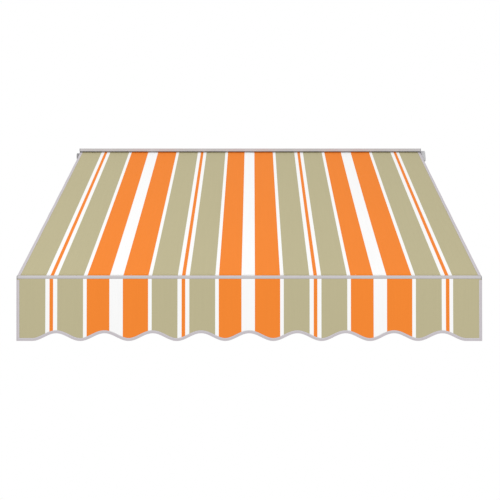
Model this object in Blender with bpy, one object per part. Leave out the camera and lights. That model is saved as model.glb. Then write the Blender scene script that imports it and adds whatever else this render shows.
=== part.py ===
"""A folding-arm awning with a striped cloth, a roller under a hood and a wave-cut valance.

Metres, +Z up. The wall is the plane y = 0, the awning reaches toward -Y, and the origin
is on the wall at mid width, level with the middle of the square bar.
"""
import bmesh
import bpy
from math import asin, atan, atan2, cos, hypot, pi, radians, sin, sqrt, tan
from mathutils import Matrix, Vector

# Cloth
FABRIC_WIDTH = 1.960
SLOPE = radians(26.2)
CLOTH = 0.0008
CLOTH_GAP = 0.0004
ROLLED_TURNS = 1.5
TURN_STEPS = 24
HEM_RADIUS = 0.0035
HEM_WRAP = radians(305.0)
HEM_ROOM = 0.00035
HEM_ROD_ROOM = 0.00039
CLEARANCE = 0.0003
EDGE_TAPE_WIDTH = 0.0125
TAPE = 0.0005

# Stripes, from the left edge, in metres on the cloth
THIN_WHITE = 0.0155
THIN_ORANGE = 0.0170
SAND_BAND = 0.1100
ORANGE_BAND = 0.0940
WIDE_WHITE = 0.0580
WIDE_ORANGE = 0.1050

# Square bar and what holds it
BAR_SIZE = 0.040
BAR_WALL = 0.002
BAR_OVERHANG = 0.0049
BAR_CAP = 0.003
BAR_STANDOFF = 0.035
BRACKET_WALL = 0.006
BRACKET_WIDTH = 0.090
BRACKET_HEIGHT = 0.150
BRACKET_X = 0.640
BRACKET_FLARE = 0.045
BRACKET_POCKET = 0.030
BRACKET_NOTCH = 0.0198
BRACKET_LIP = 0.005

# Roller
ROLLER_RADIUS = 0.035
ROLLER_WALL = 0.002
ROLLER_MARGIN = 0.0005
ROLLER_REACH = 0.075
ROLLER_RISE = 0.085
SHAFT_RADIUS = 0.007
SHAFT_DEPTH = 0.0161
PLUG_LENGTH = 0.030
END_PLATE = 0.006
END_PLATE_RADIUS = 0.030
GEAR_THICKNESS = 0.023
GEAR_RADIUS = 0.034
GEAR_NOSE_WALL = 0.006
WORM_OFFSET = 0.020
WORM_LEAN = radians(30.0)
WORM_SHAFT_RADIUS = 0.005
WORM_SHAFT_LENGTH = 0.034
EYE_RADIUS = 0.013
EYE_WIRE = 0.004
BEARING_RADIUS = 0.020
BEARING_THICKNESS = 0.01725

# Hood
HOOD_SHEET = 0.0016
HOOD_SLOPE = radians(4.0)
HOOD_REACH = 0.1267
HOOD_LIP_HEIGHT = 0.0165
HOOD_LIP_GAP = 0.009
HOOD_RETURN = 0.007
HOOD_BACK = 0.010
HOOD_LEG = 0.032
HOOD_CAP = 0.003
HOOD_CAP_STEP = 0.014
HOOD_SUPPORT_X = 0.330
HOOD_SUPPORT_WIDTH = 0.030
HOOD_SUPPORT_DEPTH = 0.014

# Arms
SHOULDER_X = 0.830
SHOULDER_REACH = 0.130
SHOULDER_RISE = 0.028
SHOULDER_WIDTH = 0.060
PIVOT_LENGTH = 0.739
ELBOW_OFFSET = 0.032
REST_SPREAD = radians(10.0)
ARM_WIDTH = 0.038
ARM_HEIGHT = 0.044
ARM_WALL = 0.002
ARM_CORNER = 0.009
CORNER_SHARE = 0.33
COLLAR_START = 0.030
COLLAR = 0.004
PLUG_DEPTH = 0.036
ELBOW_COLLAR = 0.040
PIN_RADIUS = 0.005
PIN_HEAD_RADIUS = 0.009
PIN_HEAD_TOP_RADIUS = 0.0081
PIN_HEAD = 0.003
KNUCKLE_RADIUS = 0.015
KNUCKLE_HEIGHT = 0.030
NECK_WIDTH = 0.024
FORK_RADIUS = 0.017
FORK_PRONG = 0.006
FORK_BASE = 0.008
FORK_THROAT = 0.018
ELBOW_RADIUS = 0.018
ELBOW_TONGUE_RADIUS = 0.0165
ELBOW_TONGUE_HEIGHT = 0.024
ELBOW_WEB = 0.022
ELBOW_SHOULDER = 0.014
ELBOW_EYE_START = radians(-50.0)
SPRING_RADIUS = 0.010
SPRING_WIRE = 0.0033
SPRING_LENGTH = 0.380
CABLE_RADIUS = 0.0025
CABLE_BEND = 0.0035

# Front bar
BAR_DEPTH = 0.038
CONNECTOR_REACH = 0.024
CONNECTOR_PLATE = 0.005
CONNECTOR_HEIGHT = 0.052
CHANNEL_DEPTH = 0.003
FRONT_WALL = 0.0022
FRONT_CAP = 0.0025
GROOVE_RADIUS = HEM_RADIUS + CLOTH / 2 + HEM_ROOM
GROOVE_REACH = 0.0090
GROOVE_ROOF = 0.0016
BOTTOM_MARGIN = 0.006

# Valance
VALANCE_DROP = 0.2610
WAVE_HEIGHT = 0.0325
WAVE_PITCH = 0.2030
WAVES = 9
WAVE_STEPS = 10
VALANCE_GAP = 0.0008
VALANCE_BEND = 0.0012

X_AXIS = Vector((1.0, 0.0, 0.0))
Y_AXIS = Vector((0.0, 1.0, 0.0))
Z_AXIS = Vector((0.0, 0.0, 1.0))
OUT = Vector((0.0, -cos(SLOPE), -sin(SLOPE)))
NORMAL = Vector((0.0, -sin(SLOPE), cos(SLOPE)))

BAR_CENTRE = Vector((0.0, -BAR_STANDOFF - BAR_SIZE / 2, 0.0))
ROLLER = Vector((0.0, -ROLLER_REACH, ROLLER_RISE))
ROLLER_HALF = FABRIC_WIDTH / 2 + ROLLER_MARGIN
END_PLATE_X = ROLLER_HALF + HOOD_CAP + 2 * CLEARANCE
BAR_HALF = END_PLATE_X + END_PLATE + BAR_OVERHANG
CUT_HALF = FABRIC_WIDTH / 2 - CLEARANCE - TAPE
GROOVE_HALF = CUT_HALF - FRONT_CAP - 2 * CLEARANCE
WORM = Vector((0.0, -sin(WORM_LEAN), -cos(WORM_LEAN)))
SHOULDER = Vector((SHOULDER_X, -SHOULDER_REACH, SHOULDER_RISE))
SHEET_RADIUS = ROLLER_RADIUS + CLEARANCE + CLOTH / 2 + ROLLED_TURNS * (CLOTH + CLOTH_GAP)
ARM_TILT = atan(ELBOW_OFFSET / sqrt(PIVOT_LENGTH ** 2 - ELBOW_OFFSET ** 2))
BODY_LENGTH = sqrt(PIVOT_LENGTH ** 2 - ELBOW_OFFSET ** 2)
BODY_ANGLE = REST_SPREAD + ARM_TILT
REACH = 2 * PIVOT_LENGTH * cos(REST_SPREAD)
FRONT_PIVOT = SHOULDER + OUT * REACH
FRONT_BACK_Y = FRONT_PIVOT.y - CONNECTOR_REACH
FRONT_FACE_Y = FRONT_BACK_Y - BAR_DEPTH
SEAT_Z = FRONT_PIVOT.z - CONNECTOR_REACH * tan(SLOPE)
SEAT_HALF = CONNECTOR_HEIGHT / 2 + CLEARANCE
FRONT_BOTTOM_Z = SEAT_Z - SEAT_HALF - BOTTOM_MARGIN
FRONT_ORIGIN = Vector((-FRONT_PIVOT.x, FRONT_PIVOT.y, FRONT_PIVOT.z))

SIDES = ((-1, "left"), (1, "right"))
COLOURS = ("sand", "orange", "white", "grey tape")
FAR = 1000.0

PALETTE = {
    "sand": ((0.502, 0.456, 0.279), 0.0, 0.85),
    "orange": ((0.896, 0.250, 0.037), 0.0, 0.85),
    "white": ((0.960, 0.960, 0.960), 0.0, 0.85),
    "grey tape": ((0.560, 0.530, 0.570), 0.0, 0.85),
    "painted grey": ((0.560, 0.540, 0.570), 0.0, 0.45),
    "zinc steel": ((0.420, 0.430, 0.440), 0.9, 0.40),
    "cast aluminium": ((0.600, 0.600, 0.620), 0.2, 0.45),
    "grey plastic": ((0.330, 0.330, 0.350), 0.0, 0.55),
    "spring steel": ((0.350, 0.350, 0.360), 1.0, 0.35),
}
MATERIALS = {}


def material(name):
    """The named finish, made once."""
    if name not in MATERIALS:
        colour, metallic, roughness = PALETTE[name]
        made = bpy.data.materials.new(name)
        made.use_nodes = True
        shader = made.node_tree.nodes["Principled BSDF"]
        shader.inputs["Base Color"].default_value = (*colour, 1.0)
        shader.inputs["Metallic"].default_value = metallic
        shader.inputs["Roughness"].default_value = roughness
        MATERIALS[name] = made
    return MATERIALS[name]


def place(origin, first, second, third):
    """A matrix that puts local axes on three directions at an origin."""
    return Matrix.Translation(origin) @ Matrix((first, second, third)).transposed().to_4x4()


def mirror(side):
    """The right half as it is for side 1, and its mirror image for side -1."""
    return Matrix.Diagonal((side, 1.0, 1.0, 1.0))


def section(x_start):
    """Places an outline drawn in y and z, and runs it along x from x_start."""
    return place(Vector((x_start, 0.0, 0.0)), Y_AXIS, Z_AXIS, X_AXIS)


def circle(centre, radius, steps, start=0.0, end=2 * pi):
    """Points round a circle or along an arc, both ends kept on an arc."""
    whole = abs(abs(end - start) - 2 * pi) < 1e-6
    count = steps if whole else steps + 1
    angles = [start + (end - start) * i / steps for i in range(count)]
    return [(centre[0] + radius * cos(a), centre[1] + radius * sin(a)) for a in angles]


def rectangle(x0, x1, y0, y1):
    """Four corners."""
    return [(x0, y0), (x1, y0), (x1, y1), (x0, y1)]


def rounded(half_width, half_height, corner, steps=3):
    """A rectangle about the origin with round corners."""
    points = []
    for quarter, (sx, sy) in enumerate(((1, 1), (-1, 1), (-1, -1), (1, -1))):
        centre = (sx * (half_width - corner), sy * (half_height - corner))
        points += circle(centre, corner, steps, quarter * pi / 2, (quarter + 1) * pi / 2)
    return points


def prism(loops, length, matrix):
    """Fills an outline with holes and pulls it to a solid of the given length."""
    bm = bmesh.new()
    edges = []
    for loop in loops:
        verts = [bm.verts.new((p[0], p[1], 0.0)) for p in loop]
        edges += [bm.edges.new((verts[i - 1], verts[i])) for i in range(len(verts))]
    filled = bmesh.ops.triangle_fill(bm, use_beauty=True, edges=edges)
    faces = [g for g in filled["geom"] if isinstance(g, bmesh.types.BMFace)]
    raised = bmesh.ops.extrude_face_region(bm, geom=faces)
    verts = [g for g in raised["geom"] if isinstance(g, bmesh.types.BMVert)]
    bmesh.ops.translate(bm, verts=verts, vec=(0.0, 0.0, length))
    bm.transform(matrix)
    return bm


def add(name, bm, finish, origin=Vector(), smooth=False):
    """Turns a mesh into a named object whose own origin is at the given point."""
    bmesh.ops.recalc_face_normals(bm, faces=bm.faces)
    if bm.calc_volume(signed=True) < 0.0:
        bmesh.ops.reverse_faces(bm, faces=bm.faces)
    bm.transform(Matrix.Translation(-origin))
    mesh = bpy.data.meshes.new(name)
    bm.to_mesh(mesh)
    bm.free()
    item = bpy.data.objects.new(name, mesh)
    item.location = origin
    bpy.context.scene.collection.objects.link(item)
    for one in ([finish] if isinstance(finish, str) else finish):
        mesh.materials.append(material(one))
    if smooth:
        mesh.shade_smooth()
        mesh.set_sharp_from_angle(angle=radians(35.0))
    return item


def carve(item, bm, operation):
    """Cuts or keeps what a second solid covers, with a hidden cutter."""
    cutter = add(item.name + " cutter", bm, "zinc steel")
    cutter.hide_render = True
    cutter.display_type = "WIRE"
    step = item.modifiers.new(operation.title(), "BOOLEAN")
    step.operation = operation
    step.solver = "EXACT"
    step.object = cutter


def rod(radius, length, matrix, steps=16):
    """A round bar from the place's origin along its third axis."""
    return prism([circle((0.0, 0.0), radius, steps)], length, matrix)


def tube(radius, wall, length, matrix, steps=24):
    """A round tube from the place's origin along its third axis."""
    rings = [circle((0.0, 0.0), radius, steps), circle((0.0, 0.0), radius - wall, steps)]
    return prism(rings, length, matrix)


def yz(point):
    """The y and z of a point in space."""
    return (point.y, point.z)


def square_hole():
    """The hole that the square bar passes through."""
    half = BAR_SIZE / 2 + CLEARANCE
    centre = BAR_CENTRE
    return rectangle(centre.y - half, centre.y + half, centre.z - half, centre.z + half)


def moved(points, centre):
    """The same outline about another point."""
    return [(x + centre[0], y + centre[1]) for x, y in points]


def hull(points):
    """The convex outline round a set of points."""
    ordered = sorted(set(points))
    outline = []
    for run in (ordered, ordered[::-1]):
        chain = []
        for p in run:
            while len(chain) > 1 and turn(chain[-2], chain[-1], p) <= 0:
                chain.pop()
            chain.append(p)
        outline += chain[:-1]
    return outline


def turn(a, b, c):
    """Positive where the way from a over b to c bends left."""
    return (b[0] - a[0]) * (c[1] - a[1]) - (b[1] - a[1]) * (c[0] - a[0])


def offset(path, distance):
    """An open path moved to its left, with mitred corners."""
    result = []
    for i, p in enumerate(path):
        before = direction(path[max(i - 1, 0)], path[max(i, 1)])
        after = direction(path[min(i, len(path) - 2)], path[min(i + 1, len(path) - 1)])
        bisector = (before[0] + after[0], before[1] + after[1])
        scale = 2 * distance / (bisector[0] ** 2 + bisector[1] ** 2)
        result.append((p[0] - bisector[1] * scale, p[1] + bisector[0] * scale))
    return result


def direction(a, b):
    """The unit step from a to b."""
    length = hypot(b[0] - a[0], b[1] - a[1])
    return ((b[0] - a[0]) / length, (b[1] - a[1]) / length)


def ribbon(path, thickness):
    """The outline of a thin sheet whose middle follows the path."""
    return offset(path, thickness / 2) + offset(path, -thickness / 2)[::-1]


def turned(profile, matrix, steps=16):
    """A solid of revolution from radius and height pairs, closed by flat ends."""
    bm = bmesh.new()
    angles = [2 * pi * i / steps for i in range(steps)]
    rings = [[bm.verts.new((r * cos(a), r * sin(a), h)) for a in angles] for r, h in profile]
    for lower, upper in zip(rings, rings[1:]):
        for i in range(steps):
            bm.faces.new((lower[i - 1], lower[i], upper[i], upper[i - 1]))
    bm.faces.new(rings[0])
    bm.faces.new(rings[-1])
    bm.transform(matrix)
    return bm


def pipe(points, radius, up, closed=False, steps=8):
    """A round wire along points that lie in one plane with the normal up."""
    bm = bmesh.new()
    rings = []
    count = len(points)
    for i, p in enumerate(points):
        if closed:
            along = points[(i + 1) % count] - points[i - 1]
        else:
            along = points[min(i + 1, count - 1)] - points[max(i - 1, 0)]
        side = along.normalized().cross(up)
        angles = [2 * pi * k / steps for k in range(steps)]
        rings.append([bm.verts.new(p + radius * (cos(a) * side + sin(a) * up)) for a in angles])
    pairs = list(zip(rings, rings[1:])) + ([(rings[-1], rings[0])] if closed else [])
    for lower, upper in pairs:
        for k in range(steps):
            bm.faces.new((lower[k - 1], lower[k], upper[k], upper[k - 1]))
    if not closed:
        bm.faces.new(rings[0])
        bm.faces.new(rings[-1])
    return bm


def make_bar():
    """The square bar and its two end caps."""
    half = BAR_SIZE / 2
    inner = half - BAR_WALL
    centre = yz(BAR_CENTRE)
    outer = moved(rounded(half, half, BAR_WALL), centre)
    loops = [outer, moved(rounded(inner, inner, BAR_WALL / 2), centre)]
    bm = prism(loops, 2 * BAR_HALF, section(-BAR_HALF))
    add("torsion_bar", bm, "painted grey", smooth=True)
    for side, name in SIDES:
        plate = prism([outer], BAR_CAP, mirror(side) @ section(BAR_HALF + CLEARANCE))
        add("bar_cap_" + name, plate, "grey plastic")


def make_wall_bracket(side, name):
    """A wall plate with a cradle for the bar, and the clamp that closes it."""
    wall = BRACKET_WALL
    half = BAR_SIZE / 2 + CLEARANCE
    back = BAR_CENTRE.y + half
    front = BAR_CENTRE.y - half
    nose = front - wall
    top = BRACKET_HEIGHT / 2
    start = mirror(side) @ section(BRACKET_X - BRACKET_WIDTH / 2)
    outline = [(0.0, top), (-wall, top), (-wall, BRACKET_FLARE), (back, half + wall), (back, -half)]
    outline += [(front, -half), (front, -BRACKET_LIP), (nose, -BRACKET_LIP), (nose, -half - wall)]
    outline += [(back, -half - wall), (-wall, -BRACKET_FLARE), (-wall, -top), (0.0, -top)]
    hollow = [(-2 * wall, -BRACKET_POCKET), (-2 * wall, BRACKET_POCKET)]
    hollow += [(back + wall, half), (back + wall, -half)]
    bracket = add("wall_bracket_" + name, prism([outline, hollow], BRACKET_WIDTH, start), "painted grey")
    for edge in (-1, 1):
        x_middle = side * (BRACKET_X + edge * (BRACKET_WIDTH / 2))
        notch = rectangle(x_middle - BRACKET_NOTCH, x_middle + BRACKET_NOTCH, wall, -2 * nose)
        across = place(Vector((0.0, 0.0, -top)), X_AXIS, -Y_AXIS, Z_AXIS)
        carve(bracket, prism([notch], top - half - 2 * wall, across), "DIFFERENCE")
    lid = [(back - CLEARANCE, half), (back - CLEARANCE, half + wall), (nose, half + wall)]
    lid_end = CLEARANCE - BRACKET_LIP
    lid += [(nose, lid_end), (front, lid_end), (front, half)]
    add("bracket_clamp_" + name, prism([lid], BRACKET_WIDTH, start), "painted grey")


def make_end_plate(side, name):
    """The plate on the bar's end that carries the roller."""
    margin = BAR_SIZE / 2 + END_PLATE
    corners = moved(rectangle(-margin, margin, -margin, margin), yz(BAR_CENTRE))
    outline = hull(corners + circle(yz(ROLLER), END_PLATE_RADIUS, 24))
    bore = circle(yz(ROLLER), SHAFT_RADIUS + CLEARANCE, 16)
    matrix = mirror(side) @ section(END_PLATE_X)
    add("end_plate_" + name, prism([outline, square_hole(), bore], END_PLATE, matrix), "painted grey")


def make_bearing():
    """The round bearing at the roller's free end."""
    rings = [circle((0, 0), BEARING_RADIUS, 24), circle((0, 0), SHAFT_RADIUS + CLEARANCE, 16)]
    start = Vector((-END_PLATE_X - END_PLATE - CLEARANCE, ROLLER.y, ROLLER.z))
    matrix = place(start, Y_AXIS, Z_AXIS, -X_AXIS)
    add("idle_bearing", prism(rings, BEARING_THICKNESS, matrix), "grey plastic", smooth=True)


def worm_point(distance):
    """A point on the worm shaft's axis, measured from beside the roller's axis."""
    middle = END_PLATE_X + END_PLATE + CLEARANCE + GEAR_THICKNESS / 2
    beside = Vector((0.0, -cos(WORM_LEAN), sin(WORM_LEAN))) * WORM_OFFSET
    return ROLLER + Vector((middle, 0.0, 0.0)) + beside + WORM * distance


def make_gear():
    """The gear housing at the roller's driven end, with the shaft and eye for the crank."""
    nose = worm_point(WORM_SHAFT_LENGTH)
    nose_radius = WORM_SHAFT_RADIUS + GEAR_NOSE_WALL
    outline = hull(circle(yz(ROLLER), GEAR_RADIUS, 28) + circle(yz(nose), nose_radius, 16))
    bore = circle(yz(ROLLER), SHAFT_RADIUS + CLEARANCE, 16)
    matrix = section(END_PLATE_X + END_PLATE + CLEARANCE)
    housing = add("gear_housing", prism([outline, bore], GEAR_THICKNESS, matrix), "cast aluminium")
    mouth = WORM_SHAFT_LENGTH + nose_radius
    start = -2 * WORM_SHAFT_RADIUS
    axes = (X_AXIS, X_AXIS.cross(WORM), WORM)
    hole = rod(WORM_SHAFT_RADIUS + CLEARANCE, mouth - start + EYE_RADIUS, place(worm_point(start), *axes))
    carve(housing, hole, "DIFFERENCE")
    length = mouth - start + 2 * WORM_SHAFT_RADIUS
    shaft = rod(WORM_SHAFT_RADIUS, length, place(worm_point(start + CLEARANCE), *axes))
    eye = add("crank_eye", shaft, "zinc steel", worm_point(0.0), True)
    centre = worm_point(start + length + EYE_RADIUS)
    beside = X_AXIS.cross(WORM)
    angles = [2 * pi * i / 20 for i in range(20)]
    ring = [centre + EYE_RADIUS * (cos(a) * WORM + sin(a) * beside) for a in angles]
    carve(eye, pipe(ring, EYE_WIRE, X_AXIS, True), "UNION")


def make_roller():
    """The roller tube and its end plugs."""
    start = SLOPE + pi / 2
    rings = [circle(yz(ROLLER), r, TURN_STEPS, start, start + 2 * pi)
             for r in (ROLLER_RADIUS, ROLLER_RADIUS - ROLLER_WALL)]
    add("roller_tube", prism(rings, 2 * ROLLER_HALF, section(-ROLLER_HALF)), "zinc steel", ROLLER, True)
    inner = (ROLLER_RADIUS - ROLLER_WALL) * cos(pi / TURN_STEPS) - CLEARANCE
    end = END_PLATE_X + END_PLATE + SHAFT_DEPTH - ROLLER_HALF
    profile = [(inner, -PLUG_LENGTH), (inner, 0.0), (SHAFT_RADIUS, 0.0), (SHAFT_RADIUS, end)]
    for side, name in SIDES:
        matrix = mirror(side) @ place(ROLLER + X_AXIS * ROLLER_HALF, Y_AXIS, Z_AXIS, X_AXIS)
        add("roller_plug_" + name, turned(profile, matrix, 20), "grey plastic", ROLLER, True)


def sheet_point(along, lift=0.0):
    """A point on the cloth's middle plane, along the slope from the roller and above it."""
    return ROLLER + NORMAL * (SHEET_RADIUS + lift) + OUT * along


def along_at(y, lift=0.0):
    """How far down the slope the cloth's plane reaches a given y."""
    return (sheet_point(0.0, lift).y - y) / cos(SLOPE)


def hood_line():
    """The hood's middle line, from its inturned lip over the top to the back leg."""
    bottom = sheet_point(along_at(-HOOD_REACH)).z + CLOTH + HOOD_LIP_GAP
    top = bottom + HOOD_LIP_HEIGHT - HOOD_SHEET
    back = top + (HOOD_REACH - HOOD_BACK) * tan(HOOD_SLOPE)
    path = [(-HOOD_REACH + HOOD_RETURN, bottom), (-HOOD_REACH, bottom), (-HOOD_REACH, top)]
    return path + [(-HOOD_BACK, back), (-HOOD_BACK, back - HOOD_LEG)]


def make_hood():
    """The hood over the roller with its end caps and the two arms that hold it."""
    line = hood_line()
    outline = ribbon(line, HOOD_SHEET)
    add("hood", prism([outline], 2 * ROLLER_HALF, section(-ROLLER_HALF)), "painted grey")
    for side, name in SIDES:
        matrix = mirror(side) @ section(ROLLER_HALF + CLEARANCE)
        add("hood_cap_" + name, prism([hull(cap_outline(line))], HOOD_CAP, matrix), "grey plastic")
        make_hood_support(side, name, line)


def cap_outline(line):
    """The closed end shape of the hood, clear of the roller's shaft."""
    half = HOOD_SHEET / 2
    low = line[-1][1]
    points = [(line[1][0] - half, line[1][1] - half), (line[2][0] - half, line[2][1] + half)]
    points += [(line[3][0] + half, line[3][1] + half), (line[4][0] + half, low)]
    return points + [(line[1][0] + HOOD_CAP_STEP, low)]


def make_hood_support(side, name, line):
    """An arm clamped on the bar that reaches up behind the roller to the hood."""
    wall = BRACKET_WALL
    half = BAR_SIZE / 2 + CLEARANCE
    back = line[-1][0] - HOOD_SHEET / 2 - CLEARANCE
    front = back - HOOD_SUPPORT_DEPTH
    under = HOOD_SHEET / 2 + CLEARANCE
    tops = [line[2][1] + (y - line[2][0]) * tan(HOOD_SLOPE) - under for y in (back, front)]
    nose = BAR_CENTRE.y - half - wall
    outline = [(nose, -half - wall), (back, -half - wall), (back, tops[0]), (front, tops[1])]
    outline += [(front, half + wall), (nose, half + wall)]
    matrix = mirror(side) @ section(HOOD_SUPPORT_X - HOOD_SUPPORT_WIDTH / 2)
    item = prism([outline, square_hole()], HOOD_SUPPORT_WIDTH, matrix)
    add("hood_support_" + name, item, "painted grey")


def pin_profile(half_length):
    """A headed pin about the middle of its grip."""
    top = half_length + CLEARANCE
    return [(PIN_RADIUS, -half_length), (PIN_RADIUS, top), (PIN_HEAD_RADIUS, top),
            (PIN_HEAD_TOP_RADIUS, top + PIN_HEAD)]


def casting(name, plan, plan_height, matrix, side_view, side, origin):
    """A casting that fills both its plan outline and its side outline.

    The plan lies in the place's first two axes; the side view lies in its first and third.
    """
    flip = mirror(side)
    base = matrix @ Matrix.Translation((0.0, 0.0, -plan_height))
    item = add(name, prism(plan, 2 * plan_height, flip @ base), "cast aluminium", flip @ origin)
    turned_up = Matrix(((1, 0, 0, 0), (0, 0, 1, 0), (0, 1, 0, 0), (0, 0, 0, 1)))
    depth = 4 * ARM_WIDTH
    across = matrix @ turned_up @ Matrix.Translation((0.0, 0.0, -depth))
    carve(item, prism([side_view], 2 * depth, flip @ across), "INTERSECT")
    return item


def fork_half():
    """Half the height over a fork's two prongs."""
    return KNUCKLE_HEIGHT / 2 + CLEARANCE + FORK_PRONG


def make_shoulder(side, name):
    """The bracket on the bar, the fork bolted to it and the shoulder pin."""
    wall = BRACKET_WALL
    half = BAR_SIZE / 2 + CLEARANCE
    height = fork_half()
    base = FORK_THROAT + FORK_BASE
    face = [yz(SHOULDER - OUT * (base + CLEARANCE) + NORMAL * h) for h in (height, -height)]
    low = -half - wall
    outline = face + [(BAR_CENTRE.y - half - wall, low), (BAR_CENTRE.y + half + wall, low)]
    outline += [(BAR_CENTRE.y + half + wall, half + wall), (BAR_CENTRE.y - half, half + wall)]
    matrix = mirror(side) @ section(SHOULDER_X - SHOULDER_WIDTH / 2)
    bracket = prism([outline, square_hole()], SHOULDER_WIDTH, matrix)
    add("shoulder_bracket_" + name, bracket, "cast aluminium")
    plan = [circle((0, 0), FORK_RADIUS, 10, -pi / 2, pi / 2) + [(-base, FORK_RADIUS), (-base, -FORK_RADIUS)]]
    plan.append(circle((0, 0), PIN_RADIUS + CLEARANCE, 12))
    gap = KNUCKLE_HEIGHT / 2 + CLEARANCE
    reach = 2 * FORK_RADIUS
    view = [(reach, height), (-2 * base, height), (-2 * base, -height), (reach, -height)]
    view += [(reach, -gap), (-FORK_THROAT, -gap), (-FORK_THROAT, gap), (reach, gap)]
    frame = place(SHOULDER, OUT, -X_AXIS, NORMAL)
    casting("shoulder_fork_" + name, plan, 2 * height, frame, view, side, SHOULDER)
    pin = turned(pin_profile(height), mirror(side) @ frame)
    add("shoulder_pin_" + name, pin, "zinc steel", mirror(side) @ SHOULDER, True)


def plug_half(size):
    """Half the size of a square plug that fits between the profile's round inner corners."""
    return size / 2 - ARM_WALL - CLEARANCE - (ARM_CORNER - ARM_WALL) * CORNER_SHARE


def knuckle_plan():
    """The plan of an arm's end: an eye, a neck, a collar and a plug in the profile."""
    neck = NECK_WIDTH / 2
    width = ARM_WIDTH / 2
    plug = plug_half(ARM_WIDTH)
    start = atan2(neck, sqrt(KNUCKLE_RADIUS ** 2 - neck ** 2))
    end = COLLAR_START + COLLAR
    tail = [(COLLAR_START, -neck), (COLLAR_START, -width), (end, -width), (end, -plug)]
    tail += [(end + PLUG_DEPTH, -plug)]
    mirrored = [(a, -w) for a, w in tail[::-1]]
    eye = circle((0, 0), KNUCKLE_RADIUS, 14, start, 2 * pi - start)
    return [eye + tail + mirrored, circle((0, 0), PIN_RADIUS + CLEARANCE, 12)]


def knuckle_view():
    """The same end seen from the side."""
    tongue = KNUCKLE_HEIGHT / 2
    height = ARM_HEIGHT / 2
    plug = plug_half(ARM_HEIGHT)
    end = COLLAR_START + COLLAR
    lower = [(-2 * KNUCKLE_RADIUS, -tongue), (COLLAR_START, -tongue), (COLLAR_START, -height)]
    lower += [(end, -height), (end, -plug), (end + 2 * PLUG_DEPTH, -plug)]
    return lower + [(a, -h) for a, h in lower[::-1]]


def elbow_plan(radius):
    """The plan of an elbow casting: a plug, a full-width part and an eye set to one side."""
    width = ARM_WIDTH / 2
    plug = plug_half(ARM_WIDTH)
    collar = BODY_LENGTH - ELBOW_COLLAR
    pivot = (BODY_LENGTH, ELBOW_OFFSET)
    outline = [(collar - PLUG_DEPTH, -plug), (collar, -plug), (collar, -width)]
    outline += [(BODY_LENGTH - ELBOW_SHOULDER, -width)] + circle(pivot, radius, 12, ELBOW_EYE_START, pi)
    outline += [(collar, width), (collar, plug), (collar - PLUG_DEPTH, plug)]
    return [outline, circle(pivot, PIN_RADIUS + CLEARANCE, 12)]


def elbow_view(fork):
    """An elbow casting seen from the side, as a fork or as the tongue that fits it."""
    height = ARM_HEIGHT / 2
    plug = plug_half(ARM_HEIGHT)
    collar = BODY_LENGTH - ELBOW_COLLAR
    web = BODY_LENGTH - ELBOW_WEB
    tip = BODY_LENGTH + 2 * ELBOW_RADIUS
    tongue = ELBOW_TONGUE_HEIGHT / 2
    lower = [(collar - 2 * PLUG_DEPTH, -plug), (collar, -plug), (collar, -height)]
    if fork:
        gap = tongue + CLEARANCE
        lower += [(tip, -height), (tip, -gap), (web, -gap)]
    else:
        lower += [(web, -height), (web, -tongue), (tip, -tongue)]
    return lower + [(a, -h) for a, h in lower[::-1]]


def make_arm(side, name, upper):
    """One half of a folding arm: its profile and the castings at both ends."""
    sense = 1 if upper else -1
    pivot = SHOULDER if upper else FRONT_PIVOT
    body = OUT * sense * cos(BODY_ANGLE) - X_AXIS * sin(BODY_ANGLE)
    across = OUT * sense * sin(BODY_ANGLE) + X_AXIS * cos(BODY_ANGLE)
    frame = place(pivot, body, across, NORMAL)
    flip = mirror(side)
    start = COLLAR_START + COLLAR + CLEARANCE
    length = BODY_LENGTH - ELBOW_COLLAR - CLEARANCE - start
    loops = [rounded(ARM_WIDTH / 2, ARM_HEIGHT / 2, ARM_CORNER)]
    inner = (ARM_WIDTH / 2 - ARM_WALL, ARM_HEIGHT / 2 - ARM_WALL)
    loops.append(rounded(*inner, ARM_CORNER - ARM_WALL))
    profile_place = flip @ place(pivot + body * start, across, NORMAL, body)
    kind = "upper_arm_" if upper else "forearm_"
    elbow = pivot + body * BODY_LENGTH + across * ELBOW_OFFSET
    own_axis = pivot if upper else elbow
    item = prism(loops, length, profile_place)
    add(kind + name, item, "painted grey", flip @ own_axis, True)
    inner_end = "shoulder_knuckle_" if upper else "front_knuckle_"
    casting(inner_end + name, knuckle_plan(), ARM_HEIGHT, frame, knuckle_view(), side, own_axis)
    outer_end = "elbow_fork_" if upper else "elbow_knuckle_"
    radius = ELBOW_RADIUS if upper else ELBOW_TONGUE_RADIUS
    item = casting(outer_end + name, elbow_plan(radius), ARM_HEIGHT, frame, elbow_view(upper), side, own_axis)
    far = BODY_LENGTH - ELBOW_COLLAR - 2 * PLUG_DEPTH
    bore = rod(CABLE_RADIUS + CLEARANCE, BODY_LENGTH - far + ELBOW_SHOULDER,
               flip @ place(pivot + body * far, across, NORMAL, body), 12)
    carve(item, bore, "DIFFERENCE")
    if upper:
        pin_place = flip @ place(elbow, body, across, NORMAL)
        add("elbow_pin_" + name, turned(pin_profile(ARM_HEIGHT / 2), pin_place), "zinc steel",
            flip @ elbow, True)
        make_spring(side, name, pivot, body, across)


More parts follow.
